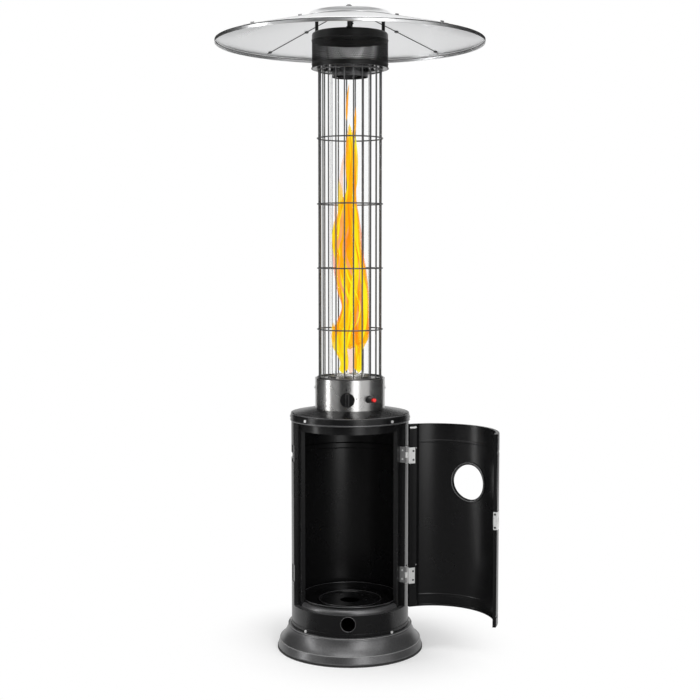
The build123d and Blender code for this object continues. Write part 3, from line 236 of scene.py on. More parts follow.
def soft_lamp(name, azimuth, distance, height, width, tall, power):
    """A rectangular lamp on a circle round the heater, turned to its middle."""
    lamp_data = bpy.data.lights.new(name, "AREA")
    lamp_data.shape = "RECTANGLE"
    lamp_data.size = width
    lamp_data.size_y = tall
    lamp_data.energy = power
    lamp = bpy.data.objects.new(name, lamp_data)
    turn = math.radians(azimuth)
    lamp.location = (distance * math.cos(turn), distance * math.sin(turn), height)
    drop = math.atan2(height - lamp_aim_height, distance)
    lamp.rotation_euler = (math.pi / 2 - drop, 0, turn + math.pi / 2)
    heater.collection.objects.link(lamp)


# name, azimuth (degrees), distance, height, width, tall (metres), power (watts)
lamps = (
    ("key_strip", -69, 3.0, 1.5, 1.1, 2.9, 30),
    ("left_strip", -164, 2.6, 1.2, 0.22, 2.6, 14),
    ("right_fill", -38, 3.2, 1.3, 2.0, 2.4, 12),
    ("top_soft", -90, 1.2, 4.2, 2.6, 2.0, 40),
)
for lamp_row in lamps:
    soft_lamp(*lamp_row)
print("lamps set:", len(lamps))

# %% [markdown]
# Black metal looks grey in a white room, so photographers stand dark cards
# round it and leave gaps for the lamps. Our cards are strips of a cylinder, a
# flat roof, and a dim apron on the floor. Only reflections see them, so they
# neither show in the picture nor shade the floor. A grey card gives a broad
# soft reflection.


# %% Card helpers
def card_material(name, shade):
    """A dull grey card; the shade is its reflected share of the room's light."""
    paint = bpy.data.materials.new(name)
    paint.use_nodes = True
    shader = paint.node_tree.nodes["Principled BSDF"]
    shader.inputs["Base Color"].default_value = (shade, shade, shade, 1)
    shader.inputs["Roughness"].default_value = 1.0
    shader.inputs["Specular IOR Level"].default_value = 0.0
    return paint


def stage_card(name, points, columns, paint):
    """A grid of points that only reflections see; row after row of the given length."""
    mesh = bpy.data.meshes.new(name)
    faces = grid_faces(len(points) // columns, columns, False, False)
    mesh.from_pydata(points.tolist(), [], faces.tolist())
    mesh.materials.append(paint)
    card = bpy.data.objects.new(name, mesh)
    card.visible_camera = False
    card.visible_diffuse = False
    card.visible_transmission = False
    card.visible_shadow = False
    heater.collection.objects.link(card)


card_black = card_material("card_black", 0.02)
card_grey = card_material("card_grey", 0.4)
card_dim = card_material("card_dim", 0.12)
print("three card paints")

# %% Round cards
card_columns = 16

# name, start and end (degrees), radius, low and high edge (metres), paint
round_cards = (
    ("front_card", -158, -10, 4.4, 0.0, 3.4, card_black),
    ("left_card", 128, 190, 3.0, 0.0, 3.4, card_black),
    ("right_card", -10, 52, 3.0, 0.0, 3.4, card_black),
    ("back_card", 52, 128, 3.2, 1.36, 2.6, card_black),
    ("soft_card", -150, -124, 3.6, 0.0, 3.0, card_grey),
)
for card_name, card_start, card_end, radius, low, high, paint in round_cards:
    turn = np.radians(np.linspace(card_start, card_end, card_columns))
    points = round_points(radius, turn[None, :], np.array([[low], [high]]))
    stage_card(card_name, points, card_columns, paint)
print("round cards set:", len(round_cards))

# %% Roof and apron
roof_height = 4.6
roof_sides = (-3.0, 3.0)
roof_front_and_back = (-3.6, 2.6)
roof = np.array([[x, y, roof_height] for y in roof_front_and_back for x in roof_sides])
stage_card("roof_card", roof, 2, card_grey)

apron_height = 0.002
apron_radii = np.array([[0.27], [4.4]])
apron_columns = 20
apron_turn = np.radians(np.linspace(-164, -12, apron_columns))
apron = round_points(apron_radii, apron_turn[None, :], apron_height)
stage_card("floor_apron", apron, apron_columns, card_dim)
print("roof and apron set")

# %% [markdown]
# The floor is one wide plane. Near the heater it is an ordinary pale surface
# that takes the soft shadow of the base. Further out it fades into the plain
# white that the camera sees round it, so that no horizon shows.

# %% Floor
floor_reach = 14.0
floor_fade_start = 0.22
floor_fade_end = 0.52

floor_points = np.array([[-1, -1, 0], [1, -1, 0], [1, 1, 0], [-1, 1, 0]]) * floor_reach
floor_mesh = bpy.data.meshes.new("floor")
floor_mesh.from_pydata(floor_points.tolist(), [], [(0, 1, 2, 3)])
floor = bpy.data.objects.new("floor", floor_mesh)
floor_paint = bpy.data.materials.new("pale_floor")
floor_paint.use_nodes = True
ground = floor_paint.node_tree
floor_shader = ground.nodes["Principled BSDF"]
floor_shader.inputs["Base Color"].default_value = (0.97, 0.97, 0.97, 1)
floor_shader.inputs["Roughness"].default_value = 0.9
floor_shader.inputs["Specular IOR Level"].default_value = 0.1
floor_glow = ground.nodes.new("ShaderNodeEmission")
floor_place = ground.nodes.new("ShaderNodeTexCoord").outputs["Object"]
away = length_node(ground, floor_place)
faded = range_node(ground, away, floor_fade_start, floor_fade_end, 0.0, 1.0, "SMOOTHSTEP")
path = ground.nodes.new("ShaderNodeLightPath").outputs
seen = math_node(ground, "ADD", path["Is Camera Ray"], path["Is Transmission Ray"], clamp=True)
floor_mix = ground.nodes.new("ShaderNodeMixShader")
ground.links.new(math_node(ground, "MULTIPLY", faded, seen), floor_mix.inputs["Fac"])
ground.links.new(floor_shader.outputs["BSDF"], floor_mix.inputs[1])
ground.links.new(floor_glow.outputs["Emission"], floor_mix.inputs[2])
ground.links.new(floor_mix.outputs["Shader"], ground.nodes["Material Output"].inputs["Surface"])
floor_mesh.materials.append(floor_paint)
heater.collection.objects.link(floor)
print("floor reaches", floor_reach, "m")

# %% [markdown]
# ## Shared effects
# Three effects turn up in several finishes. Each is a node group with named
# inputs, so that a finish places it with its own values.
# * A powder coat has a fine orange-peel skin and slightly uneven gloss.
# * Brushed or drawn steel has fine lines round its middle, and handling leaves
#   faint cloudy patches on it that are a little duller.
# * A fine speckle of two colours suits plated, moulded and fibrous surfaces.


# %% Group helper
def effect_group(name, inputs):
    """A node group that gives a colour, a roughness and a height; returns it and its ends."""
    group = bpy.data.node_groups.new(name, "ShaderNodeTree")
    for label, value in inputs.items():
        kind = "NodeSocketColor" if isinstance(value, tuple) else "NodeSocketFloat"
        socket = group.interface.new_socket(label, in_out="INPUT", socket_type=kind)
        socket.default_value = value
    outputs = {"Colour": "NodeSocketColor", "Roughness": "NodeSocketFloat", "Height": "NodeSocketFloat"}
    for label, kind in outputs.items():
        group.interface.new_socket(label, in_out="OUTPUT", socket_type=kind)
    start, end = group.nodes.new("NodeGroupInput"), group.nodes.new("NodeGroupOutput")
    return group, start.outputs, end.inputs


# %% Powder coat group
coat_group, given, result = effect_group(
    "powder_coat",
    {"Colour": (0.02, 0.02, 0.02, 1), "Roughness": 0.35, "Unevenness": 0.06, "Peel": 0.5},
)
place = coat_group.nodes.new("ShaderNodeTexCoord").outputs["Object"]
peel = noise_node(coat_group, place, scale=620, detail=2)
cloud = noise_node(coat_group, place, scale=7, detail=4, roughness=0.6)
speck = noise_node(coat_group, place, scale=240, detail=3)
gloss = swing_node(coat_group, cloud.outputs["Fac"], given["Unevenness"], given["Roughness"])
skin = math_node(coat_group, "MULTIPLY", peel.outputs["Fac"], given["Peel"])
shade = range_node(coat_group, speck.outputs["Fac"], 0.3, 0.7, 0.86, 1.14)
coat_group.links.new(scale_node(coat_group, given["Colour"], shade), result["Colour"])
coat_group.links.new(gloss, result["Roughness"])
coat_group.links.new(skin, result["Height"])
print("powder coat group ready")

# %% Brushed lines group
line_stretch = 0.006

brush_group, given, result = effect_group(
    "brushed_lines",
    {"Colour": (0.6, 0.6, 0.6, 1), "Roughness": 0.3, "Lines": 0.1, "Patches": 0.08},
)
place = brush_group.nodes.new("ShaderNodeTexCoord").outputs["Object"]
apart = brush_group.nodes.new("ShaderNodeSeparateXYZ")
brush_group.links.new(place, apart.inputs[0])
flat = brush_group.nodes.new("ShaderNodeCombineXYZ")
for axis in ("X", "Y"):
    brush_group.links.new(apart.outputs[axis], flat.inputs[axis])
around = math_node(brush_group, "ARCTAN2", apart.outputs["Y"], apart.outputs["X"])
rolled = brush_group.nodes.new("ShaderNodeCombineXYZ")
brush_group.links.new(math_node(brush_group, "MULTIPLY", around, line_stretch), rolled.inputs["X"])
brush_group.links.new(length_node(brush_group, flat.outputs[0]), rolled.inputs["Y"])
brush_group.links.new(apart.outputs["Z"], rolled.inputs["Z"])
lines = noise_node(brush_group, rolled.outputs[0], scale=1500, detail=2, roughness=0.7)
patches = noise_node(brush_group, place, scale=9, detail=3)
shade = swing_node(brush_group, lines.outputs["Fac"], given["Lines"], 1.0)
gloss = swing_node(brush_group, patches.outputs["Fac"], given["Patches"], given["Roughness"])
brush_group.links.new(scale_node(brush_group, given["Colour"], shade), result["Colour"])
brush_group.links.new(gloss, result["Roughness"])
brush_group.links.new(lines.outputs["Fac"], result["Height"])
print("brushed lines group ready")

# %% Speckle group
speckle_group, given, result = effect_group(
    "fine_speckle",
    {
        "Colour": (0.5, 0.5, 0.5, 1), "Second": (0.4, 0.4, 0.4, 1),
        "Grain": 300.0, "Roughness": 0.4, "Spread": 0.1,
    },
)
place = speckle_group.nodes.new("ShaderNodeTexCoord").outputs["Object"]
grain = noise_node(speckle_group, place, scale=300, detail=4, roughness=0.6)
speckle_group.links.new(given["Grain"], grain.inputs["Scale"])
sharp = range_node(speckle_group, grain.outputs["Fac"], 0.35, 0.65, 0.0, 1.0)
blend = speckle_group.nodes.new("ShaderNodeMix")
blend.data_type = "RGBA"
speckle_group.links.new(sharp, blend.inputs["Factor"])
speckle_group.links.new(given["Colour"], blend.inputs["A"])
speckle_group.links.new(given["Second"], blend.inputs["B"])
gloss = swing_node(speckle_group, grain.outputs["Fac"], given["Spread"], given["Roughness"])
speckle_group.links.new(blend.outputs["Result"], result["Colour"])
speckle_group.links.new(gloss, result["Roughness"])
speckle_group.links.new(grain.outputs["Fac"], result["Height"])
print("speckle group ready")


# %% Finish helpers
def finish(name, group, group_values, shader_values, bump_strength, bump_distance):
    """A material with one effect group that feeds colour, roughness and a bump."""
    material = bpy.data.materials.new(name)
    material.use_nodes = True
    nodes, links = material.node_tree.nodes, material.node_tree.links
    shader = nodes["Principled BSDF"]
    for label, value in shader_values.items():
        shader.inputs[label].default_value = value
    effect = nodes.new("ShaderNodeGroup")
    effect.node_tree = group
    for label, value in group_values.items():
        effect.inputs[label].default_value = value
    bump = nodes.new("ShaderNodeBump")
    bump.inputs["Strength"].default_value = bump_strength
    bump.inputs["Distance"].default_value = bump_distance
    links.new(effect.outputs["Colour"], shader.inputs["Base Color"])
    links.new(effect.outputs["Roughness"], shader.inputs["Roughness"])
    links.new(effect.outputs["Height"], bump.inputs["Height"])
    links.new(bump.outputs["Normal"], shader.inputs["Normal"])
    return material


def speckled(name, colour, second, grain, roughness, spread, shader_values, bump_strength, bump_distance):
    """A finish of two colours in fine grains; the spread is that of its roughness."""
    group_values = {
        "Colour": (*colour, 1), "Second": (*second, 1),
        "Grain": grain, "Roughness": roughness, "Spread": spread,
    }
    return finish(name, speckle_group, group_values, shader_values, bump_strength, bump_distance)


# %% [markdown]
# ## Finishes
# The cabinet has a semi-gloss black powder coat, the base a greyer satin one, and the head a matt
# heatproof one. The plate that lies over the tube gets a glossier copy of that coat, whose lighter colour
# is a painted sheen. The burner drum is stainless steel with lines brushed round it. The reflector is
# bright rolled aluminium sheet, the small hardware bright or dull zinc or dark steel, and the gas parts
# turned brass. The base's coat and the dull zinc also give beads a painted highlight, and the dull zinc
# and the dark steel give a few parts a painted shade. The last two numbers of a finish are the strength
# of its bump and the height of the bump in metres.

# %% Coats
cabinet_coat = finish(
    "black_cabinet_coat", coat_group,
    {"Colour": (0.0055, 0.0055, 0.0058, 1), "Roughness": 0.27, "Unevenness": 0.05, "Peel": 1.0},
    {"Specular IOR Level": 0.38}, 0.10, 0.00012,
)
# The base's own satin coat. Lighter and metallic, it is also laid on the tray support and on beads of
# black parts as a painted highlight.
base_coat_and_painted_highlight = finish(
    "black_base_coat", coat_group,
    {"Colour": (0.135, 0.135, 0.137, 1), "Roughness": 0.33, "Unevenness": 0.06, "Peel": 1.0},
    {"Metallic": 0.75}, 0.10, 0.00012,
)
heatproof_coat = finish(
    "black_heatproof_coat", coat_group,
    {"Colour": (0.006, 0.006, 0.006, 1), "Roughness": 0.38, "Unevenness": 0.08, "Peel": 1.0},
    {"Specular IOR Level": 0.35}, 0.15, 0.00015,
)
# A glossier copy of the heatproof coat for the plate over the tube; its lighter colour is a painted
# sheen.
painted_sheen_heatproof_coat = finish(
    "painted_sheen_heatproof_coat", coat_group,
    {"Colour": (0.03, 0.03, 0.03, 1), "Roughness": 0.14, "Unevenness": 0.06, "Peel": 1.0},
    {"Specular IOR Level": 1.0}, 0.05, 0.0001,
)
print("four coats")

# %% Metals
drum_steel = finish(
    "brushed_stainless", brush_group,
    {"Colour": (0.60, 0.595, 0.585, 1), "Roughness": 0.27, "Lines": 0.22, "Patches": 0.04},
    {"Metallic": 1.0}, 0.08, 0.00004,
)
# A speckled finish: name, two colours, grain, roughness and its spread, shader values, bump.
cage_steel = speckled(
    "cage_steel", (0.15, 0.15, 0.152), (0.11, 0.11, 0.11), 240.0, 0.34, 0.12,
    {"Metallic": 0.85}, 0.05, 0.00005,
)
zinc = speckled(
    "bright_zinc", (0.88, 0.88, 0.87), (0.74, 0.74, 0.735), 420.0, 0.42, 0.12,
    {"Metallic": 0.6}, 0.06, 0.00005,
)
reflector_sheet = finish(
    "reflector_aluminium", brush_group,
    {"Colour": (0.86, 0.865, 0.87, 1), "Roughness": 0.3, "Lines": 0.04, "Patches": 0.12},
    {"Metallic": 1.0}, 0.02, 0.00004,
)
brass = finish(
    "yellow_brass", brush_group,
    {"Colour": (0.72, 0.53, 0.25, 1), "Roughness": 0.28, "Lines": 0.12, "Patches": 0.1},
    {"Metallic": 1.0}, 0.05, 0.00004,
)
# Dull zinc is the real finish of the nuts and rivets; on the hinge post leaves it is a painted shade, on
# the base's beads a painted highlight.
dull_zinc_and_painted_light = speckled(
    "dull_zinc_and_painted_light", (0.34, 0.34, 0.34), (0.26, 0.26, 0.26), 420.0, 0.38, 0.12,
    {"Metallic": 0.7}, 0.06, 0.00005,
)
# Dark steel is the real finish of the screws and bolts; on the tube collar and the reflector's rim line
# it is a painted shade.
dark_steel_and_painted_shade = speckled(
    "dark_steel_and_painted_shade", (0.07, 0.07, 0.072), (0.05, 0.05, 0.05), 420.0, 0.3, 0.1,
    {"Metallic": 1.0}, 0.05, 0.00005,
)
print("seven metals")

# %% Plastics, ceramic, fibre, ferrite and rubber
knob_plastic = speckled(
    "knob_plastic", (0.008, 0.008, 0.009), (0.011, 0.011, 0.011), 500.0, 0.16, 0.04,
    {"Specular IOR Level": 0.8, "Coat Weight": 0.5, "Coat Roughness": 0.06}, 0.03, 0.00003,
)
button_plastic = speckled(
    "button_plastic", (0.80, 0.022, 0.016), (0.72, 0.018, 0.014), 500.0, 0.2, 0.05,
    {"Coat Weight": 0.3}, 0.03, 0.00003,
)
barrel_plastic = speckled(
    "barrel_plastic", (0.016, 0.016, 0.017), (0.022, 0.022, 0.022), 600.0, 0.38, 0.1,
    {}, 0.1, 0.00005,
)
white_ceramic = speckled(
    "white_ceramic", (0.86, 0.85, 0.82), (0.80, 0.78, 0.73), 350.0, 0.25, 0.08,
    {}, 0.04, 0.00004,
)
gasket_fibre = speckled(
    "gasket_fibre", (0.70, 0.67, 0.6), (0.52, 0.49, 0.43), 900.0, 0.9, 0.05,
    {}, 0.6, 0.0004,
)
magnet_ferrite = speckled(
    "magnet_ferrite", (0.05, 0.05, 0.052), (0.035, 0.035, 0.036), 800.0, 0.6, 0.1,
    {}, 0.2, 0.0001,
)
black_rubber = speckled(
    "black_rubber", (0.012, 0.012, 0.012), (0.02, 0.02, 0.02), 400.0, 0.6, 0.1,
    {"Specular IOR Level": 0.3}, 0.15, 0.0001,
)
print("seven other finishes")

# %% [markdown]
# The flame tube is clear borosilicate glass. A real shader for transmission
# bends what is behind it and shows a darker line at each edge of the tube,
# where one looks along the wall. Its bending is set low, because the thin
# tube is hardly seen in the photograph. Faint cloudy patches vary its gloss.

# %% Glass
glass = bpy.data.materials.new("clear_borosilicate")
glass.use_nodes = True
pane = glass.node_tree
shader = pane.nodes["Principled BSDF"]
shader.inputs["Base Color"].default_value = (0.985, 0.99, 0.99, 1)
shader.inputs["Transmission Weight"].default_value = 1.0
shader.inputs["IOR"].default_value = 1.05
effect = pane.nodes.new("ShaderNodeGroup")
effect.node_tree = brush_group
effect.inputs["Roughness"].default_value = 0.0
effect.inputs["Patches"].default_value = 0.002
pane.links.new(effect.outputs["Roughness"], shader.inputs["Roughness"])
print("glass ready")

# %% [markdown]
# Every solid of the construction gets the finish of its slot. A few nodes look unlike the rest of their
# slot in the photograph and get one of their own. Of these, the darker metals on the hinge post leaves
# and the tube collar are painted shade, and the lighter coats on the tray support and the plate over the
# tube are painted highlight and painted sheen.

# %% Dress the construction
finish_of_slot = {
    "black_base_coat": base_coat_and_painted_highlight, "black_cabinet_coat": cabinet_coat,
    "black_heatproof_coat": heatproof_coat, "brushed_stainless": drum_steel,
    "cage_steel": cage_steel, "bright_zinc": zinc, "reflector_aluminium": reflector_sheet,
    "clear_borosilicate": glass, "gasket_fibre": gasket_fibre, "yellow_brass": brass,
    "knob_plastic": knob_plastic, "button_plastic": button_plastic,
    "barrel_plastic": barrel_plastic, "white_ceramic": white_ceramic,
    "magnet_ferrite": magnet_ferrite, "black_rubber": black_rubber,
}
# Darker metals on the hinge post leaves and the tube collar are painted shade; the lighter coats on the
# tray support and the head's bottom plate are painted highlight and painted sheen.
finish_and_painted_light_of_node = {
    "hinge_post_leaves": dull_zinc_and_painted_light, "reflector_nuts": dull_zinc_and_painted_light,
    "hinge_door_screws": dark_steel_and_painted_shade, "pull_screws": dark_steel_and_painted_shade,
    "reflector_bolts": dark_steel_and_painted_shade, "tube_collar": dark_steel_and_painted_shade,
    "tray_support": base_coat_and_painted_highlight, "head_bottom_plate": painted_sheen_heatproof_coat,
}
for part in frame["record"]["subparts"]:
    solid = frame["nodes"][part["node"]]
    coat = finish_and_painted_light_of_node.get(part["node"], finish_of_slot[part["material_slot"]])
    if len(solid.material_slots) == 0:
        solid.data.materials.append(coat)
    for place in solid.material_slots:
        place.material = coat

# %% [markdown]
# ## The perforated wall of the head
# The head's wall is sheet with rows of punched holes. We lay it out flat as a
# grid of square cells. Each cell joins a border, a square with its corners cut
# off, to a round hole of eight corners, and the inner and outer faces are
# joined through the hole. Every second row is shifted by half a cell, and the
# cut corners leave small openings that part the rows. Then it is rolled up.

# %% Perforated wall
low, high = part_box("head_grille")
wall_outer = high.x
wall_thickness = 0.0012
holes_round = 132
holes_up = 13
hole_corners = 8
hole_radius_share = 0.36

cell_up = (high.z - low.z) / holes_up
cell_round = 2 * math.pi / holes_round
corner_step = 2 * math.pi / hole_corners
corner = np.arange(hole_corners) * corner_step + corner_step / 2
circle = np.stack([np.cos(corner), np.sin(corner)], 1)
square = circle / np.abs(circle).max(axis=1, keepdims=True) * 0.5
cell = np.concatenate([square, circle * hole_radius_share])
row, column = np.meshgrid(np.arange(holes_up), np.arange(holes_round), indexing="ij")
row, column = row.reshape(-1, 1, 1), column.reshape(-1, 1, 1)
turn = (column + 0.5 * (row % 2) + cell[:, 0]) * cell_round
rise = low.z + (row + 0.5 + cell[:, 1]) * cell_up
wall_faces = np.array([wall_outer, wall_outer - wall_thickness]).reshape(1, 2, 1)
cell_points = round_points(wall_faces, turn, rise)

# A cell's points come as four rings of corners, and quads join three pairs of rings.
square_out, circle_out, square_in, circle_in = (hole_corners * layer for layer in range(4))
k = np.arange(hole_corners)
next_k = (k + 1) % hole_corners
cell_quads = np.concatenate([
    np.stack([k + near, next_k + near, next_k + far, k + far], 1)
    for near, far in ((square_out, circle_out), (circle_in, square_in), (circle_out, circle_in))
])
cell_starts = 4 * hole_corners * np.arange(len(row))[:, None, None]
wall_quads = (cell_quads[None] + cell_starts).reshape(-1, 4)
perforated_wall = mesh_object(
    "head_perforated_wall", cell_points, wall_quads, "heater",
    heatproof_coat, smooth=False,
)
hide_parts("head_grille")

# %% [markdown]
# ## Seams of the reflector
# Each pair of segments meets in a folded seam. From below it shows as a dark
# hem with a straight run. A seam is a thin half-round bead: its cross-section
# is half an ellipse across the seam, and it runs out along the cone.

# %% Seam hems
hem_half_width = 0.0020
hem_depth = 0.0012
hem_inner = 0.098
hem_outer = 0.376
hem_drop = 0.00096
hem_rows = 24
hem_columns = 7
cone_slope = 0.2397
rim_radius = 0.393
rim_height = 1.797


def seam_hem(name, azimuth):
    """At run r and angle b: r along the seam, half width cos b across it, both turned to its
    azimuth, and z = rim height + (rim radius - r) slope - drop - depth sin b."""
    turn = math.radians(azimuth)
    run = np.linspace(hem_inner, hem_outer, hem_rows)[:, None]
    bend = np.linspace(0, math.pi, hem_columns)[None, :]
    aside = hem_half_width * np.cos(bend)
    x = run * math.cos(turn) - aside * math.sin(turn)
    y = run * math.sin(turn) + aside * math.cos(turn)
    z = rim_height + (rim_radius - run) * cone_slope - (hem_drop + hem_depth * np.sin(bend))
    points = np.stack([x, y, z], axis=2).reshape(-1, 3)
    faces = grid_faces(hem_rows, hem_columns, False, False)
    mesh_object(name, points, faces, "heater", heatproof_coat)


seams = {"front_right": -45, "back_right": 45, "back_left": 135, "front_left": -135}
for seam_name, seam_azimuth in seams.items():
    seam_hem("seam_hem_" + seam_name, seam_azimuth)

# %% [markdown]
# ## Rolled edges
# Sheet edges are rolled over into thin beads: at the reflector's rim, round the head, at the brow and the
# hem of the cover, at the crease and the lip of the base, and on the bottle tray. Each bead is a torus.
# The beads of the cover, the base and the tray take a lighter metal than the sheet round them, so that
# they show as fine bright lines: painted highlights on real edges. A dark ring along the top of the
# reflector's rim is a painted shade line in its fold. The collar of the base is coated in the cabinet's
# black, and a thin sleeve just over it shows that.

# %% Beads
tube_points = 10
fine = 180
plain = 120


def torus(name, radius, height, tube, material, squeeze, columns):
    """((R + r cos b) cos a, (R + r cos b) sin a, h + r sin b); squeeze scales r across."""
    turn, bend = np.meshgrid(full_circle(columns), full_circle(tube_points), indexing="ij")
    reach = radius + squeeze * tube * np.cos(bend)
    points = round_points(reach, turn, height + tube * np.sin(bend))
    mesh_object(name, points, grid_faces(columns, tube_points, True, True), "heater", material)


# name, radius, height, tube radius, finish, squeeze, columns
beads = [
    ("rim_hem", 0.3915, 1.7872, 0.0014, reflector_sheet, 1.0, fine),
    # A dark ring along the top of the reflector's rim: a painted shade line in its fold.
    ("rim_shade_line", 0.3916, 1.7952, 0.0014, dark_steel_and_painted_shade, 1.0, fine),
    ("head_band_bead", 0.1112, 1.7965, 0.0016, heatproof_coat, 0.7, plain),
    ("head_low_bead", 0.1112, 1.7290, 0.0014, heatproof_coat, 0.7, plain),
    # The cover's and the base's beads take a lighter metal than their sheet: painted highlight lines on
    # real edges.
    ("cover_brow_highlight", 0.17455, 0.7078, 0.0012, base_coat_and_painted_highlight, 1.0, fine),
    ("cover_hem_highlight", 0.1764, 0.6879, 0.0023, base_coat_and_painted_highlight, 0.7, fine),
    ("base_crease_highlight_bead", 0.2098, 0.0282, 0.0014, dull_zinc_and_painted_light, 1.0, fine),
    ("base_lip_highlight_bead", 0.1845, 0.0722, 0.0013, dull_zinc_and_painted_light, 1.0, fine),
]
for bead in beads:
    torus(*bead)

collar_profile = np.array([(0.17665, 0.0742), (0.17675, 0.0748), (0.17675, 0.0846), (0.17665, 0.0852)])
collar_radius, collar_height = collar_profile[:, :1], collar_profile[:, 1:]
collar_points = round_points(collar_radius, full_circle(fine)[None, :], collar_height)
collar_faces = grid_faces(len(collar_profile), fine, False, True)
mesh_object("base_collar_coat", collar_points, collar_faces, "heater", cabinet_coat)

tray_bead_inset = 0.0016
_, high_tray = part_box("bottle_tray")
# Both tray beads take the base's lighter metallic coat: painted highlight lines on the black tray.
torus("tray_rim_highlight_bead", high_tray.x - tray_bead_inset, high_tray.z, 0.0011, base_coat_and_painted_highlight, 1.0, plain)
torus("tray_ring_highlight_bead", 0.093, 0.1436, 0.0010, base_coat_and_painted_highlight, 1.0, plain)

# %% [markdown]
# ## Rings round holes
# A ring that lies on a drum follows its curve. For an angle a, the ring's
# point is R cos a along the wall and R sin a up it, and the length along the
# wall is wrapped round the drum. The tube of the ring bends about that line.
# The door is such a drum too, about a line of its own as it stands open.

# %% Rings on a drum
ring_columns = 72
heater_middle = (0.0, 0.0)
door_middle = (0.2503, -0.2246)


def drum_ring(name, centre, drum_radius, azimuth, height, ring_radius, tube, body):
    """u = R cos a, w = R sin a; the wall turns u into an angle u / drum_radius about the centre."""
    a, b = np.meshgrid(full_circle(ring_columns), full_circle(tube_points), indexing="ij")
    reach = ring_radius + tube * np.cos(b)
    turn = math.radians(azimuth) + reach * np.cos(a) / drum_radius
    points = round_points(drum_radius + tube * np.sin(b), turn, height + reach * np.sin(a), centre)
    faces = grid_faces(ring_columns, tube_points, True, True)[:, ::-1]
    # The ring takes the base's lighter metallic coat: a painted highlight on the black rim round the
    # hole.
    mesh_object(name, points, faces, body, base_coat_and_painted_highlight)


# name, centre, drum radius, azimuth (degrees), height, ring radius, tube radius, body
drum_rings = (
    ("window_highlight_bead", door_middle, 0.1713, 54.0, 0.514, 0.0566, 0.0021, "door"),
    ("front_hole_highlight_bead", heater_middle, 0.1752, -90.0, 0.1136, 0.0219, 0.0011, "heater"),
)
for ring in drum_rings:
    drum_ring(*ring)

# %% [markdown]
# ## Small hardware of the door
# Two rivets hold the hinge channel to the door, and a bright end strip closes
# the channel at the top. A rivet is a low dome: its radius falls as cos b
# while it rises as sin b.

# %% Rivets
channel_face = 0.1644
rivet_azimuth = 109.1
rivet_radius = 0.0022
rivet_rise = 0.0009
rivet_columns = 16
rivet_rows = 6
rivet_top = math.pi / 2 * 0.98


def door_rivet(name, height):
    """A dome on the channel: its point lies radius cos b from the middle, in the direction a
    on the wall, and rise sin b off the wall, towards the door's middle line."""
    bends = np.linspace(0, rivet_top, rivet_rows)
    a, b = np.meshgrid(full_circle(rivet_columns), bends, indexing="ij")
    reach = rivet_radius * np.cos(b)
    turn = math.radians(rivet_azimuth) + reach * np.cos(a) / channel_face
    inward = channel_face - rivet_rise * np.sin(b)
    points = round_points(inward, turn, height + reach * np.sin(a), door_middle)
    mesh_object(name, points, grid_faces(rivet_columns, rivet_rows, True, False), "door", dull_zinc_and_painted_light)


for rivet_name, rivet_height in (("rivet_high", 0.612), ("rivet_low", 0.265)):
    door_rivet(rivet_name, rivet_height)

# %% [markdown]
# The end strip is a flat bar bent to the channel's curve. Its cross-section
# has four corners, given as lift off the channel and height, and is carried
# along an arc of the door.

# %% End strip
strip_columns = 12
strip_turn = np.radians(np.linspace(109.2, 116.2, strip_columns))[:, None]
strip_section = np.array([(0.0, 0.6690), (0.0012, 0.6700), (0.0012, 0.6742), (0.0, 0.6752)])
strip_lift, strip_height = strip_section.T
strip_points = round_points(channel_face - strip_lift, strip_turn, strip_height, door_middle)
strip_faces = grid_faces(strip_columns, len(strip_section), False, True)
mesh_object("channel_end_strip", strip_points, strip_faces, "door", zinc)

# %% [markdown]
# ## Marks on the burner drum
# Two small plain signs are printed on the drum by the knob: a little flame
# above it and a dot beside it. Each lies a hair above the steel. A flat
# outline is wrapped round the drum: x is an angle and y a height.

# %% Wrapped marks
_, high_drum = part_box("burner_housing")
mark_radius = high_drum.x + 0.00012
mark_corners = 16
mark_rings = (1.0, 0.5, 0.02)
dot_radius = 0.0016
flame_half_width = 0.0020
flame_half_height = 0.0036
flame_lean_in = 0.45


def wrapped_mark(name, x, y, azimuth, height):
    """Quads inside a flat outline (metres), shrunk ring by ring to its middle and rolled up."""
    outline = np.stack([x, y], 1)
    rings = np.concatenate([outline * share for share in mark_rings])
    turn = math.radians(azimuth) + rings[:, 0] / mark_radius
    points = round_points(mark_radius, turn, height + rings[:, 1])
    faces = grid_faces(len(mark_rings), mark_corners, False, True)
    mesh_object(name, points, faces, "heater", knob_plastic)


across, up = np.cos(full_circle(mark_corners)), np.sin(full_circle(mark_corners))
flame_x = flame_half_width * across * (1 - flame_lean_in * up)
wrapped_mark("mark_flame", flame_x, flame_half_height * up, azimuth=-94.0, height=0.7845)
wrapped_mark("mark_dot", dot_radius * across, dot_radius * up, azimuth=-77.5, height=0.7585)

# %% [markdown]
# ## The flame
# A gas flame in a tube is a few thin sheets of burning gas that twist round
# each other. Every tongue here is a closed form whose cross-section is an
# ellipse. Its middle line, width and turn run smoothly through a handful of
# stations, and a ripple travels up its side. The colour lies in long upright
# streaks from deep orange to yellow, and the tips and roots fade out.


# %% Smooth line helpers
flame_root = 0.822
flame_length = 0.85


def smooth_through(stations, count):
    """Catmull-Rom curve through the rows of stations, sampled at count places."""
    stations = np.asarray(stations, float)
    before, after = 2 * stations[0] - stations[1], 2 * stations[-1] - stations[-2]
    padded = np.vstack([before, stations, after])
    place = np.linspace(0, len(stations) - 1, count)
    first = np.minimum(place.astype(int), len(stations) - 2)
    t = (place - first)[:, None]
    a, b, c, d = (padded[first + step] for step in range(4))
    square, cube = 2 * a - 5 * b + 4 * c - d, 3 * b - a - 3 * c + d
    return 0.5 * (2 * b + (c - a) * t + square * t**2 + cube * t**3)


def flame_height(share):
    """Height in metres at this share of the way from the burner to the flame's tip."""
    return flame_root + flame_length * share


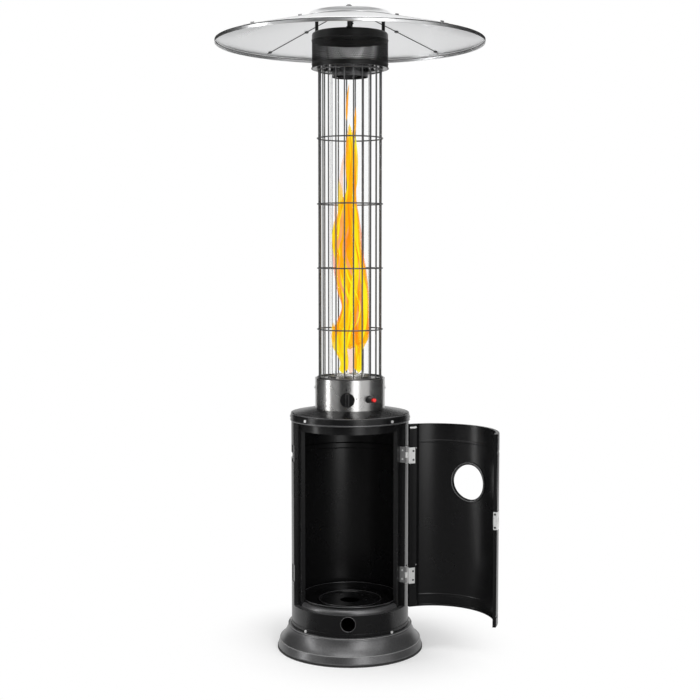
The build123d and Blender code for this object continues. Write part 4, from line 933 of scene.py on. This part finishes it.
# %% [markdown]
# Burning gas has no skin. It glows, and one looks through it. So its material
# is black and only sends out light, and its alpha thins it. A noise that is
# drawn out upwards makes the streaks, and a colour ramp tints them. Where a
# streak is dark, the gas is thinner too. Each piece carries an attribute that
# fades out its root and its tip.

# %% Flame material
streak_scale = 75
streak_distortion = 0.6
streak_stretch = 0.11
thin_share = 0.75


def flame_material(name, low_colour, middle_colour, high_colour, cover):
    """Emission in upright streaks; alpha follows the fade attribute and the streaks."""
    material = bpy.data.materials.new(name)
    material.use_nodes = True
    tree = material.node_tree
    shader = tree.nodes["Principled BSDF"]
    shader.inputs["Base Color"].default_value = (0, 0, 0, 1)
    shader.inputs["Roughness"].default_value = 1.0
    shader.inputs["Specular IOR Level"].default_value = 0.0
    shader.inputs["Emission Strength"].default_value = 1.0
    place = tree.nodes.new("ShaderNodeTexCoord").outputs["Object"]
    stretch = tree.nodes.new("ShaderNodeMapping")
    stretch.inputs["Scale"].default_value = (1.0, 1.0, streak_stretch)
    tree.links.new(place, stretch.inputs["Vector"])
    streaks = noise_node(tree, stretch.outputs["Vector"], streak_scale, detail=2)
    streaks.inputs["Distortion"].default_value = streak_distortion
    ramp = tree.nodes.new("ShaderNodeValToRGB")
    stops = ramp.color_ramp.elements
    stops[0].position, stops[1].position = 0.36, 0.66
    stops[0].color, stops[1].color = (*low_colour, 1), (*high_colour, 1)
    stops.new(0.5).color = (*middle_colour, 1)
    tree.links.new(streaks.outputs["Fac"], ramp.inputs["Fac"])
    tree.links.new(ramp.outputs["Color"], shader.inputs["Emission Color"])
    fade = tree.nodes.new("ShaderNodeAttribute")
    fade.attribute_name = "fade"
    covered = range_node(tree, streaks.outputs["Fac"], 0.3, 0.6, cover * thin_share, cover)
    alpha = math_node(tree, "MULTIPLY", fade.outputs["Fac"], covered)
    tree.links.new(alpha, shader.inputs["Alpha"])
    return material


flame_red = (1.0, 0.13, 0.008)
flame_orange = (1.0, 0.27, 0.008)
flame_amber = (1.0, 0.44, 0.006)
flame_gold = (1.0, 0.66, 0.004)
flame_yellow = (1.0, 0.88, 0.02)
flame_peach = (1.0, 0.40, 0.16)
edge_fire = flame_material("flame_edge", flame_red, flame_orange, flame_orange, 0.45)
sheath_fire = flame_material("flame_sheath", flame_orange, flame_gold, flame_yellow, 0.75)
body_fire = flame_material("flame_body", flame_gold, flame_gold, flame_yellow, 0.9)
core_fire = flame_material("flame_core", flame_gold, flame_yellow, flame_yellow, 0.95)
patch_fire = flame_material("flame_patch", flame_orange, flame_amber, flame_amber, 0.8)
veil_fire = flame_material("flame_veil", flame_peach, flame_peach, flame_amber, 0.3)
peach_fire = flame_material("flame_blush", flame_orange, flame_peach, flame_peach, 0.75)
print("seven flame materials")

# %% Tongue helper
thinnest = 0.0003
taper_rows = 3
ripple_lobes = 3
ripple_twist = 9
ripple_bands = 14
root_fade, root_power = 0.03, 0.7
tip_fade, tip_power = 0.22, 0.8


def flame_tongue(name, stations, material, share=1.0, rows=90, columns=28, ripple=0.12, seed=0.0):
    """Rings of an ellipse (w cos a, d sin a) along the middle line, swollen at height s by
    1 + ripple sin(lobes a + twist s + seed) sin(bands s + seed). The columns of stations are
    rise share, x, y, half width, half depth and turn."""
    line = smooth_through(stations, rows)
    up = np.linspace(0, 1, rows)
    turn = full_circle(columns)
    climb = up[:, None]
    swirl = np.sin(ripple_lobes * turn[None, :] + ripple_twist * climb + seed)
    wave = 1 + ripple * swirl * np.sin(ripple_bands * climb + seed)
    taper = np.clip(np.minimum(up, 1 - up) * rows / taper_rows, 0, 1)[:, None]
    wide = np.maximum(line[:, 3:4], thinnest) * share * wave * taper
    deep = np.maximum(line[:, 4:5], thinnest) * share * wave * taper
    local_x, local_y = wide * np.cos(turn), deep * np.sin(turn)
    spin = line[:, 5:6]
    x = line[:, 1:2] + local_x * np.cos(spin) - local_y * np.sin(spin)
    y = line[:, 2:3] + local_x * np.sin(spin) + local_y * np.cos(spin)
    z = flame_height(line[:, 0:1]) + 0 * x
    points = np.stack([x, y, z], axis=2).reshape(-1, 3)
    piece = mesh_object(name, points, grid_faces(rows, columns, False, True), "heater", material)
    from_root = np.clip(up / root_fade, 0, 1) ** root_power
    from_tip = np.clip((1 - up) / tip_fade, 0, 1) ** tip_power
    attribute = piece.data.attributes.new("fade", "FLOAT", "POINT")
    attribute.data.foreach_set("value", np.repeat(from_root * from_tip, columns))


# %% [markdown]
# The flame stands on two feet and joins into one body that narrows to a tip.
# Burning gas is brightest where one looks through most of it. So the body is
# four layers in each other, from a thin red edge to a yellow core, and each
# foot is two. Two darker patches and two bright streaks lie in front of them.
# Each shape is given as a few stations from bottom to top.

# %% Strands
# rise share, x, y, half width, half depth (metres) and turn (radians)
main_body = [
    (0.085, 0.000, 0.000, 0.034, 0.014, 0.0), (0.135, -0.001, -0.002, 0.050, 0.018, 0.0),
    (0.206, 0.011, -0.004, 0.040, 0.020, 0.1), (0.241, 0.014, -0.004, 0.037, 0.020, 0.15),
    (0.293, 0.010, -0.002, 0.042, 0.020, 0.1), (0.370, 0.000, 0.002, 0.042, 0.020, 0.0),
    (0.416, -0.007, 0.004, 0.040, 0.019, -0.1), (0.464, -0.009, 0.004, 0.041, 0.018, -0.15),
    (0.519, -0.007, 0.002, 0.036, 0.017, -0.1), (0.554, -0.003, 0.000, 0.028, 0.015, 0.0),
    (0.590, -0.004, -0.001, 0.023, 0.014, 0.1), (0.640, 0.004, -0.001, 0.013, 0.012, 0.2),
    (0.700, 0.003, 0.000, 0.014, 0.011, 0.3), (0.750, 0.003, 0.000, 0.015, 0.010, 0.4),
    (0.800, 0.001, 0.000, 0.012, 0.008, 0.4), (0.840, -0.001, 0.000, 0.006, 0.005, 0.4),
    (0.872, -0.002, 0.000, 0.001, 0.001, 0.4),
]
left_foot = [
    (0.000, -0.022, -0.004, 0.013, 0.010, 0.0), (0.040, -0.017, -0.006, 0.011, 0.010, 0.1),
    (0.070, -0.024, -0.008, 0.015, 0.012, 0.2), (0.100, -0.029, -0.008, 0.020, 0.013, 0.2),
    (0.150, -0.022, -0.008, 0.024, 0.013, 0.2), (0.200, -0.012, -0.008, 0.016, 0.011, 0.2),
    (0.260, -0.006, -0.008, 0.012, 0.009, 0.3), (0.330, -0.010, -0.006, 0.010, 0.008, 0.3),
    (0.400, -0.020, -0.004, 0.009, 0.007, 0.3), (0.480, -0.028, -0.002, 0.010, 0.007, 0.2),
    (0.560, -0.026, 0.000, 0.008, 0.006, 0.1), (0.630, -0.028, 0.002, 0.006, 0.005, 0.0),
    (0.680, -0.033, 0.002, 0.001, 0.001, 0.0),
]
right_foot = [
    (0.000, 0.026, 0.004, 0.011, 0.010, 0.0), (0.045, 0.024, 0.004, 0.012, 0.010, -0.1),
    (0.085, 0.025, 0.004, 0.011, 0.011, -0.2), (0.130, 0.033, 0.004, 0.018, 0.013, -0.2),
    (0.190, 0.034, 0.004, 0.018, 0.013, -0.3), (0.250, 0.036, 0.002, 0.014, 0.012, -0.3),
    (0.310, 0.032, 0.000, 0.013, 0.011, -0.3), (0.380, 0.020, -0.002, 0.013, 0.011, -0.2),
    (0.450, 0.008, -0.004, 0.014, 0.010, -0.1), (0.520, 0.006, -0.004, 0.012, 0.009, 0.0),
    (0.600, 0.006, -0.003, 0.009, 0.008, 0.1), (0.700, 0.004, -0.002, 0.007, 0.006, 0.2),
    (0.780, 0.002, -0.001, 0.005, 0.005, 0.2), (0.840, 0.000, 0.000, 0.001, 0.001, 0.2),
]
middle_streak = [
    (0.060, -0.016, -0.016, 0.004, 0.003, 0.0), (0.120, -0.020, -0.021, 0.009, 0.004, 0.0),
    (0.200, -0.002, -0.024, 0.010, 0.004, 0.1), (0.290, 0.010, -0.024, 0.010, 0.004, 0.1),
    (0.380, 0.022, -0.022, 0.009, 0.004, 0.0), (0.460, 0.016, -0.018, 0.008, 0.004, 0.0),
    (0.560, 0.008, -0.016, 0.006, 0.003, 0.1), (0.680, 0.008, -0.013, 0.005, 0.003, 0.1),
    (0.780, 0.005, -0.010, 0.003, 0.002, 0.1), (0.850, 0.001, -0.006, 0.001, 0.001, 0.1),
]
left_streak = [
    (0.150, -0.034, -0.015, 0.004, 0.003, 0.0), (0.230, -0.014, -0.020, 0.008, 0.004, 0.1),
    (0.320, -0.022, -0.020, 0.008, 0.004, 0.1), (0.400, -0.032, -0.016, 0.006, 0.004, 0.0),
    (0.480, -0.036, -0.014, 0.007, 0.004, 0.0), (0.560, -0.020, -0.013, 0.006, 0.003, 0.1),
    (0.640, -0.004, -0.012, 0.005, 0.003, 0.1), (0.760, -0.002, -0.010, 0.004, 0.002, 0.1),
    (0.840, -0.001, -0.006, 0.001, 0.001, 0.1),
]
low_patch = [
    (0.090, 0.010, -0.022, 0.002, 0.002, 0.0), (0.140, 0.014, -0.025, 0.009, 0.003, 0.0),
    (0.200, 0.022, -0.027, 0.012, 0.003, 0.1), (0.260, 0.026, -0.026, 0.007, 0.003, 0.1),
    (0.310, 0.028, -0.022, 0.001, 0.001, 0.1),
]
high_patch = [
    (0.370, -0.004, -0.024, 0.002, 0.002, 0.0), (0.430, -0.002, -0.025, 0.012, 0.003, 0.0),
    (0.500, -0.006, -0.023, 0.014, 0.003, 0.1), (0.570, 0.002, -0.019, 0.010, 0.003, 0.1),
    (0.650, 0.002, -0.015, 0.002, 0.002, 0.1),
]
print("stations of the main body:", len(main_body))

# %% Layers of the strands
main_layers = (
    ("edge", edge_fire, 1.12, 0.0), ("sheath", sheath_fire, 1.02, 0.6),
    ("body", body_fire, 0.93, 1.2), ("core", core_fire, 0.45, 2.0),
)
for name, material, share, seed in main_layers:
    flame_tongue("flame_main_" + name, main_body, material, share, ripple=0.10, seed=seed)
for name, stations, seed in (("left", left_foot, 0.0), ("right", right_foot, 2.2)):
    flame_tongue("flame_" + name + "_sheath", stations, sheath_fire, 1.1, ripple=0.14, seed=seed)
    flame_tongue("flame_" + name + "_core", stations, core_fire, 0.8, ripple=0.2, seed=seed + 1)
inner_strands = (
    ("low_patch", low_patch, patch_fire, 0.5), ("high_patch", high_patch, patch_fire, 2.5),
    ("middle_streak", middle_streak, core_fire, 1.5), ("left_streak", left_streak, core_fire, 2.9),
)
for name, stations, material, seed in inner_strands:
    flame_tongue("flame_" + name, stations, material, ripple=0.2, seed=seed)

# %% [markdown]
# Finer threads run up the front of the body, some bright and some dark. One
# that strays past the body's edge would float. So each thread follows the
# body's middle line and only sways across its width.

# %% Wisps on the body
wisp_widths = np.array([0.15, 0.6, 0.9, 1.0, 0.9, 1.0, 0.75, 0.4, 0.05])
wisp_thickness = 0.35
wisp_turn = 0.1


def body_wisp(name, start, end, offset, sway, phase, half_width, depth, material):
    """A thin streak along the main body; at s of its way from start to end,
    x = the body's middle + its half width (offset + sway sin(2 pi (s + phase)))."""
    rise, body_x, _, body_half, _, _ = np.transpose(main_body)
    place = np.linspace(0, 1, len(wisp_widths))
    share = start + (end - start) * place
    swing = offset + sway * np.sin(2 * math.pi * (place + phase))
    x = np.interp(share, rise, body_x) + np.interp(share, rise, body_half) * swing
    wide = half_width * wisp_widths
    columns = np.broadcast_arrays(share, x, depth, wide, wide * wisp_thickness, wisp_turn)
    stations = np.stack(columns, axis=1)
    flame_tongue(name, stations, material, rows=60, columns=14, ripple=0.2, seed=phase * 6)


# start and end (rise shares), offset, sway, phase, half width, depth, material
wisp_table = [
    (0.11, 0.60, 0.78, 0.10, 0.1, 0.0060, -0.0235, core_fire),
    (0.12, 0.58, -0.80, 0.10, 0.6, 0.0040, -0.0235, edge_fire),
    (0.40, 0.76, 0.15, 0.20, 0.2, 0.0070, -0.0270, patch_fire),
    (0.32, 0.63, -0.42, 0.18, 0.7, 0.0055, -0.0275, patch_fire),
    (0.10, 0.33, 0.45, 0.15, 0.4, 0.0062, -0.0300, peach_fire),
    (0.06, 0.36, -0.22, 0.25, 0.9, 0.0038, -0.0310, core_fire),
    (0.34, 0.52, -0.05, 0.15, 0.3, 0.0060, -0.0300, peach_fire),
    (0.43, 0.58, -0.55, 0.12, 0.8, 0.0050, -0.0290, peach_fire),
    (0.56, 0.86, 0.00, 0.30, 0.5, 0.0026, -0.0180, patch_fire),
    (0.15, 0.44, 0.10, 0.35, 0.0, 0.0024, -0.0330, core_fire),
    (0.22, 0.50, 0.55, 0.20, 0.6, 0.0022, -0.0330, peach_fire),
    (0.24, 0.42, -0.70, 0.15, 0.2, 0.0034, -0.0290, peach_fire),
    (0.66, 0.87, 0.35, 0.20, 0.3, 0.0030, -0.0170, core_fire),
    (0.50, 0.66, 0.62, 0.10, 0.9, 0.0030, -0.0230, core_fire),
]
for number, wisp in enumerate(wisp_table):
    body_wisp(f"flame_wisp_{number:02d}", *wisp)

# %% [markdown]
# Small leaves of flame part from the body at its sides and above its tip, and
# a wide thin veil hangs low between the feet. A leaf is widest a third of the
# way up, ends in a point and bows to one side.

# %% Licks
lick_places = np.array([0.0, 0.3, 0.65, 1.0])
lick_widths = np.array([0.5, 1.0, 0.75, 0.05])
lick_thickness = 0.6
lick_turn = 0.4


def flame_lick(name, start, tip, half_width, lean, material, seed):
    """A small leaf of flame; at s of the straight way from start to tip (rise share, x, y)
    its middle line bows sideways by lean sin(pi s)."""
    start, tip = np.array(start), np.array(tip)
    share, x, y = (start + (tip - start) * lick_places[:, None]).T
    x = x + lean * np.sin(math.pi * lick_places)
    wide = half_width * lick_widths
    columns = (share, x, y, wide, wide * lick_thickness, lick_turn * lick_places)
    stations = np.stack(columns, axis=1)
    flame_tongue(name, stations, material, rows=36, columns=16, ripple=0.1, seed=seed)


# name, start and tip (rise share, x, y), half width, lean, material, seed
lick_table = [
    ("lick_a", (0.090, -0.024, -0.010), (0.185, -0.050, -0.006), 0.010, -0.006, sheath_fire, 0.4),
    ("lick_b", (0.360, -0.028, -0.004), (0.540, -0.047, 0.000), 0.009, -0.006, sheath_fire, 1.4),
    ("lick_c", (0.110, 0.030, 0.002), (0.300, 0.051, 0.004), 0.010, 0.006, sheath_fire, 2.4),
    ("lick_d", (0.150, 0.040, -0.002), (0.380, 0.046, 0.000), 0.007, 0.005, veil_fire, 3.1),
    ("lick_e", (0.600, 0.008, 0.004), (0.840, 0.015, 0.004), 0.007, 0.006, sheath_fire, 0.9),
    ("lick_f", (0.875, -0.010, 0.000), (1.010, -0.002, 0.000), 0.0032, -0.002, patch_fire, 1.9),
    ("lick_g", (0.560, -0.024, 0.002), (0.780, -0.016, 0.002), 0.006, -0.006, veil_fire, 2.9),
    ("lick_h", (0.500, -0.036, -0.002), (0.620, -0.040, -0.002), 0.005, -0.004, veil_fire, 0.2),
    ("lick_i", (0.790, 0.004, 0.004), (0.930, 0.016, 0.000), 0.0046, 0.004, patch_fire, 2.2),
    ("veil_low", (0.000, 0.002, 0.000), (0.180, 0.004, 0.000), 0.014, 0.0, veil_fire, 0.7),
]
for name, *lick in lick_table:
    flame_lick("flame_" + name, *lick)

# %% [markdown]
# ## Close

# %% Finish
print("dressing done")
